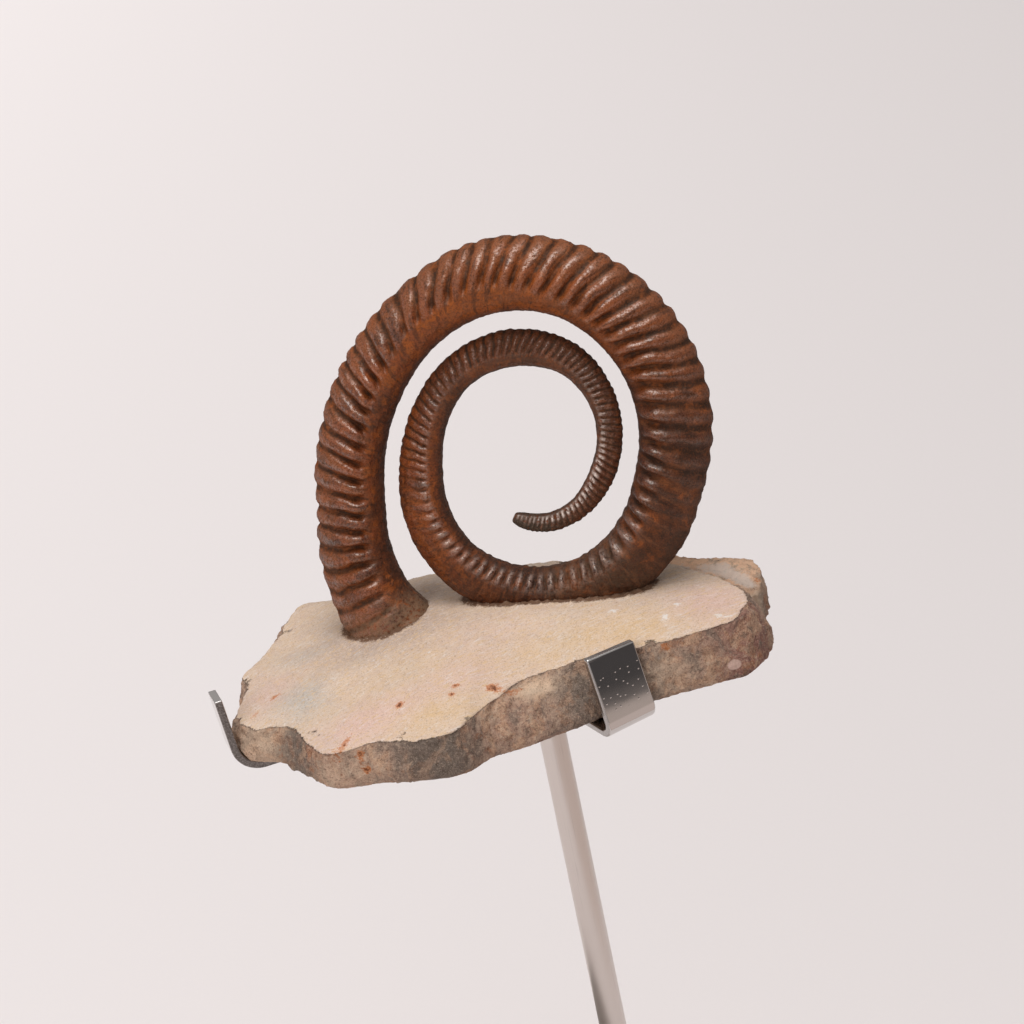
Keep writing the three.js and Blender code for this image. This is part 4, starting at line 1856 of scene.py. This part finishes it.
@dataclass(frozen=True)
class Flag:
    """A glowing card to the right of the object, which only the steel sees.

    It glows in painted bands, dark above and pale below, which are painted reflections that
    make the front clip's foot and the rod shine. The heights are in millimetres.
    """

    place: tuple[float, float, float] = (1.25, -0.75, 0.0)
    turn: float = 59
    half_width: float = 900
    low: float = 2
    high: float = 1500
    foot: float = 1300
    face: Colour = (0.012, 0.011, 0.011, 1.0)
    near_floor: Colour = (0.66, 0.56, 0.52, 1.0)
    pale: Colour = (0.54, 0.46, 0.42, 1.0)
    middle: Colour = (0.145, 0.128, 0.122, 1.0)
    dark: Colour = (0.057, 0.053, 0.054, 1.0)
    pale_span: Span = (60, 240)
    middle_span: Span = (278, 284)
    dark_span: Span = (286, 310)

    def hang(self) -> None:
        """Hang the glowing card, with its foot laid out on the floor behind it."""
        bench = Bench("dark cloth", Roughness=0.9, Base_Color=self.face, Emission_Strength=1.0)
        height = bench.node("ShaderNodeSeparateXYZ", values={"Vector": bench.place()}, output="Z")
        bench.feed(Emission_Color=bench.layers(self.near_floor, (
            (self.pale, height.over(*self.pale_span)),
            (self.middle, height.over(*self.middle_span)),
            (self.dark, height.over(*self.dark_span)),
        )))
        left, right = -self.half_width, self.half_width
        corners = np.array([
            (left, 0, self.low), (right, 0, self.low), (right, 0, self.high),
            (left, 0, self.high), (left, self.foot, self.low), (right, self.foot, self.low),
        ])
        mesh = make_mesh("glowing_reflection_card", corners, [[0, 1, 2, 3], [0, 4, 5, 1]])
        where = Matrix.Translation(self.place) @ Matrix.Rotation(math.radians(self.turn), 4, "Z")
        card = place(mesh, where)
        card.data.materials.append(bench.material)
        card.visible_camera = False
        card.visible_diffuse = False
        card.visible_shadow = False


@dataclass
class Studio:
    """The floor, the light and the camera."""

    floor_half: float = 6.0
    look_down: float = 28.0
    distance: float = 1.15
    aside: float = 0.005918
    above: float = 0.034595
    lens: float = 177.63
    sees: Span = (0.02, 30.0)
    sky: Colour = (1.0, 0.975, 0.965, 1.0)
    sky_strength: float = 0.36
    object_lamps: Sequence[Lamp] = (
        Lamp("top key", (-0.18, -0.06, 1.66), 0.9, 15.0),
        Lamp("front fill", (-0.72, -1.15, 0.80), 0.6, 8.5, gloss=False),
    )
    paper_lamps: Sequence[Lamp] = (
        Lamp("paper key", (-0.308, -0.846, 1.24), 0.6, 12.4, (0, 0.3, 0), shadow=False),
        Lamp("paper left", (-1.1, 1.2, 0.8), 0.8, 17.0, (0, 0.3, 0), shadow=False),
    )

    def build(self) -> None:
        """Set the studio up, with the object and the paper lit apart."""
        bpy.context.scene.view_settings.view_transform = "Standard"
        floor = self.lay_floor()
        self.fill_room()
        for lamp in self.object_lamps:
            lamp.hang(floor, Reach.ALL_BUT)
        for lamp in self.paper_lamps:
            lamp.hang(floor, Reach.ONLY)
        Flag().hang()
        self.aim()

    def lay_floor(self) -> bpy.types.Object:
        """Lay the pale floor.

        Returns:
            The floor.
        """
        half = self.floor_half / MM
        corners = [(-half, -half, 0), (half, -half, 0), (half, half, 0), (-half, half, 0)]
        floor = place(make_mesh("floor", np.array(corners), [[0, 1, 2, 3]]), Matrix.Identity(4))
        floor.data.materials.append(PaperFinish().make())
        return floor

    def fill_room(self) -> None:
        """Fill the room with pale light."""
        world = bpy.data.worlds.new("studio")
        world.use_nodes = True
        sky = world.node_tree.nodes["Background"]
        sky.inputs["Color"].default_value = self.sky
        sky.inputs["Strength"].default_value = self.sky_strength
        bpy.context.scene.world = world

    def aim(self) -> None:
        """Aim the camera down at the object from the front."""
        down = math.radians(self.look_down)
        ahead = Vector((0, math.cos(down), -math.sin(down)))
        upward = Vector((0, math.sin(down), math.cos(down)))
        camera = bpy.data.objects.new("camera", bpy.data.cameras.new("camera"))
        camera.data.lens = self.lens
        camera.data.clip_start, camera.data.clip_end = self.sees
        camera.location = (LEAN.origin - ahead * self.distance
                           - Vector((self.aside, 0, 0)) + upward * self.above)
        camera.rotation_euler = (math.pi / 2 - down, 0, 0)
        bpy.context.scene.collection.objects.link(camera)
        bpy.context.scene.camera = camera


def main() -> None:
    """Build the object and its studio."""
    logging.basicConfig(level=logging.INFO, format="%(name)s: %(message)s")
    Studio().build()
    stand = Stand()
    stand.build()
    shell = Shell()
    dress(shell.build(), ShellFinish().make(), "ammonite_coil")
    slab = Slab(stand.clips, shell)
    dress(slab.build(), StoneFinish().make(), "matrix_slab")


if __name__ == "__main__":
    main()
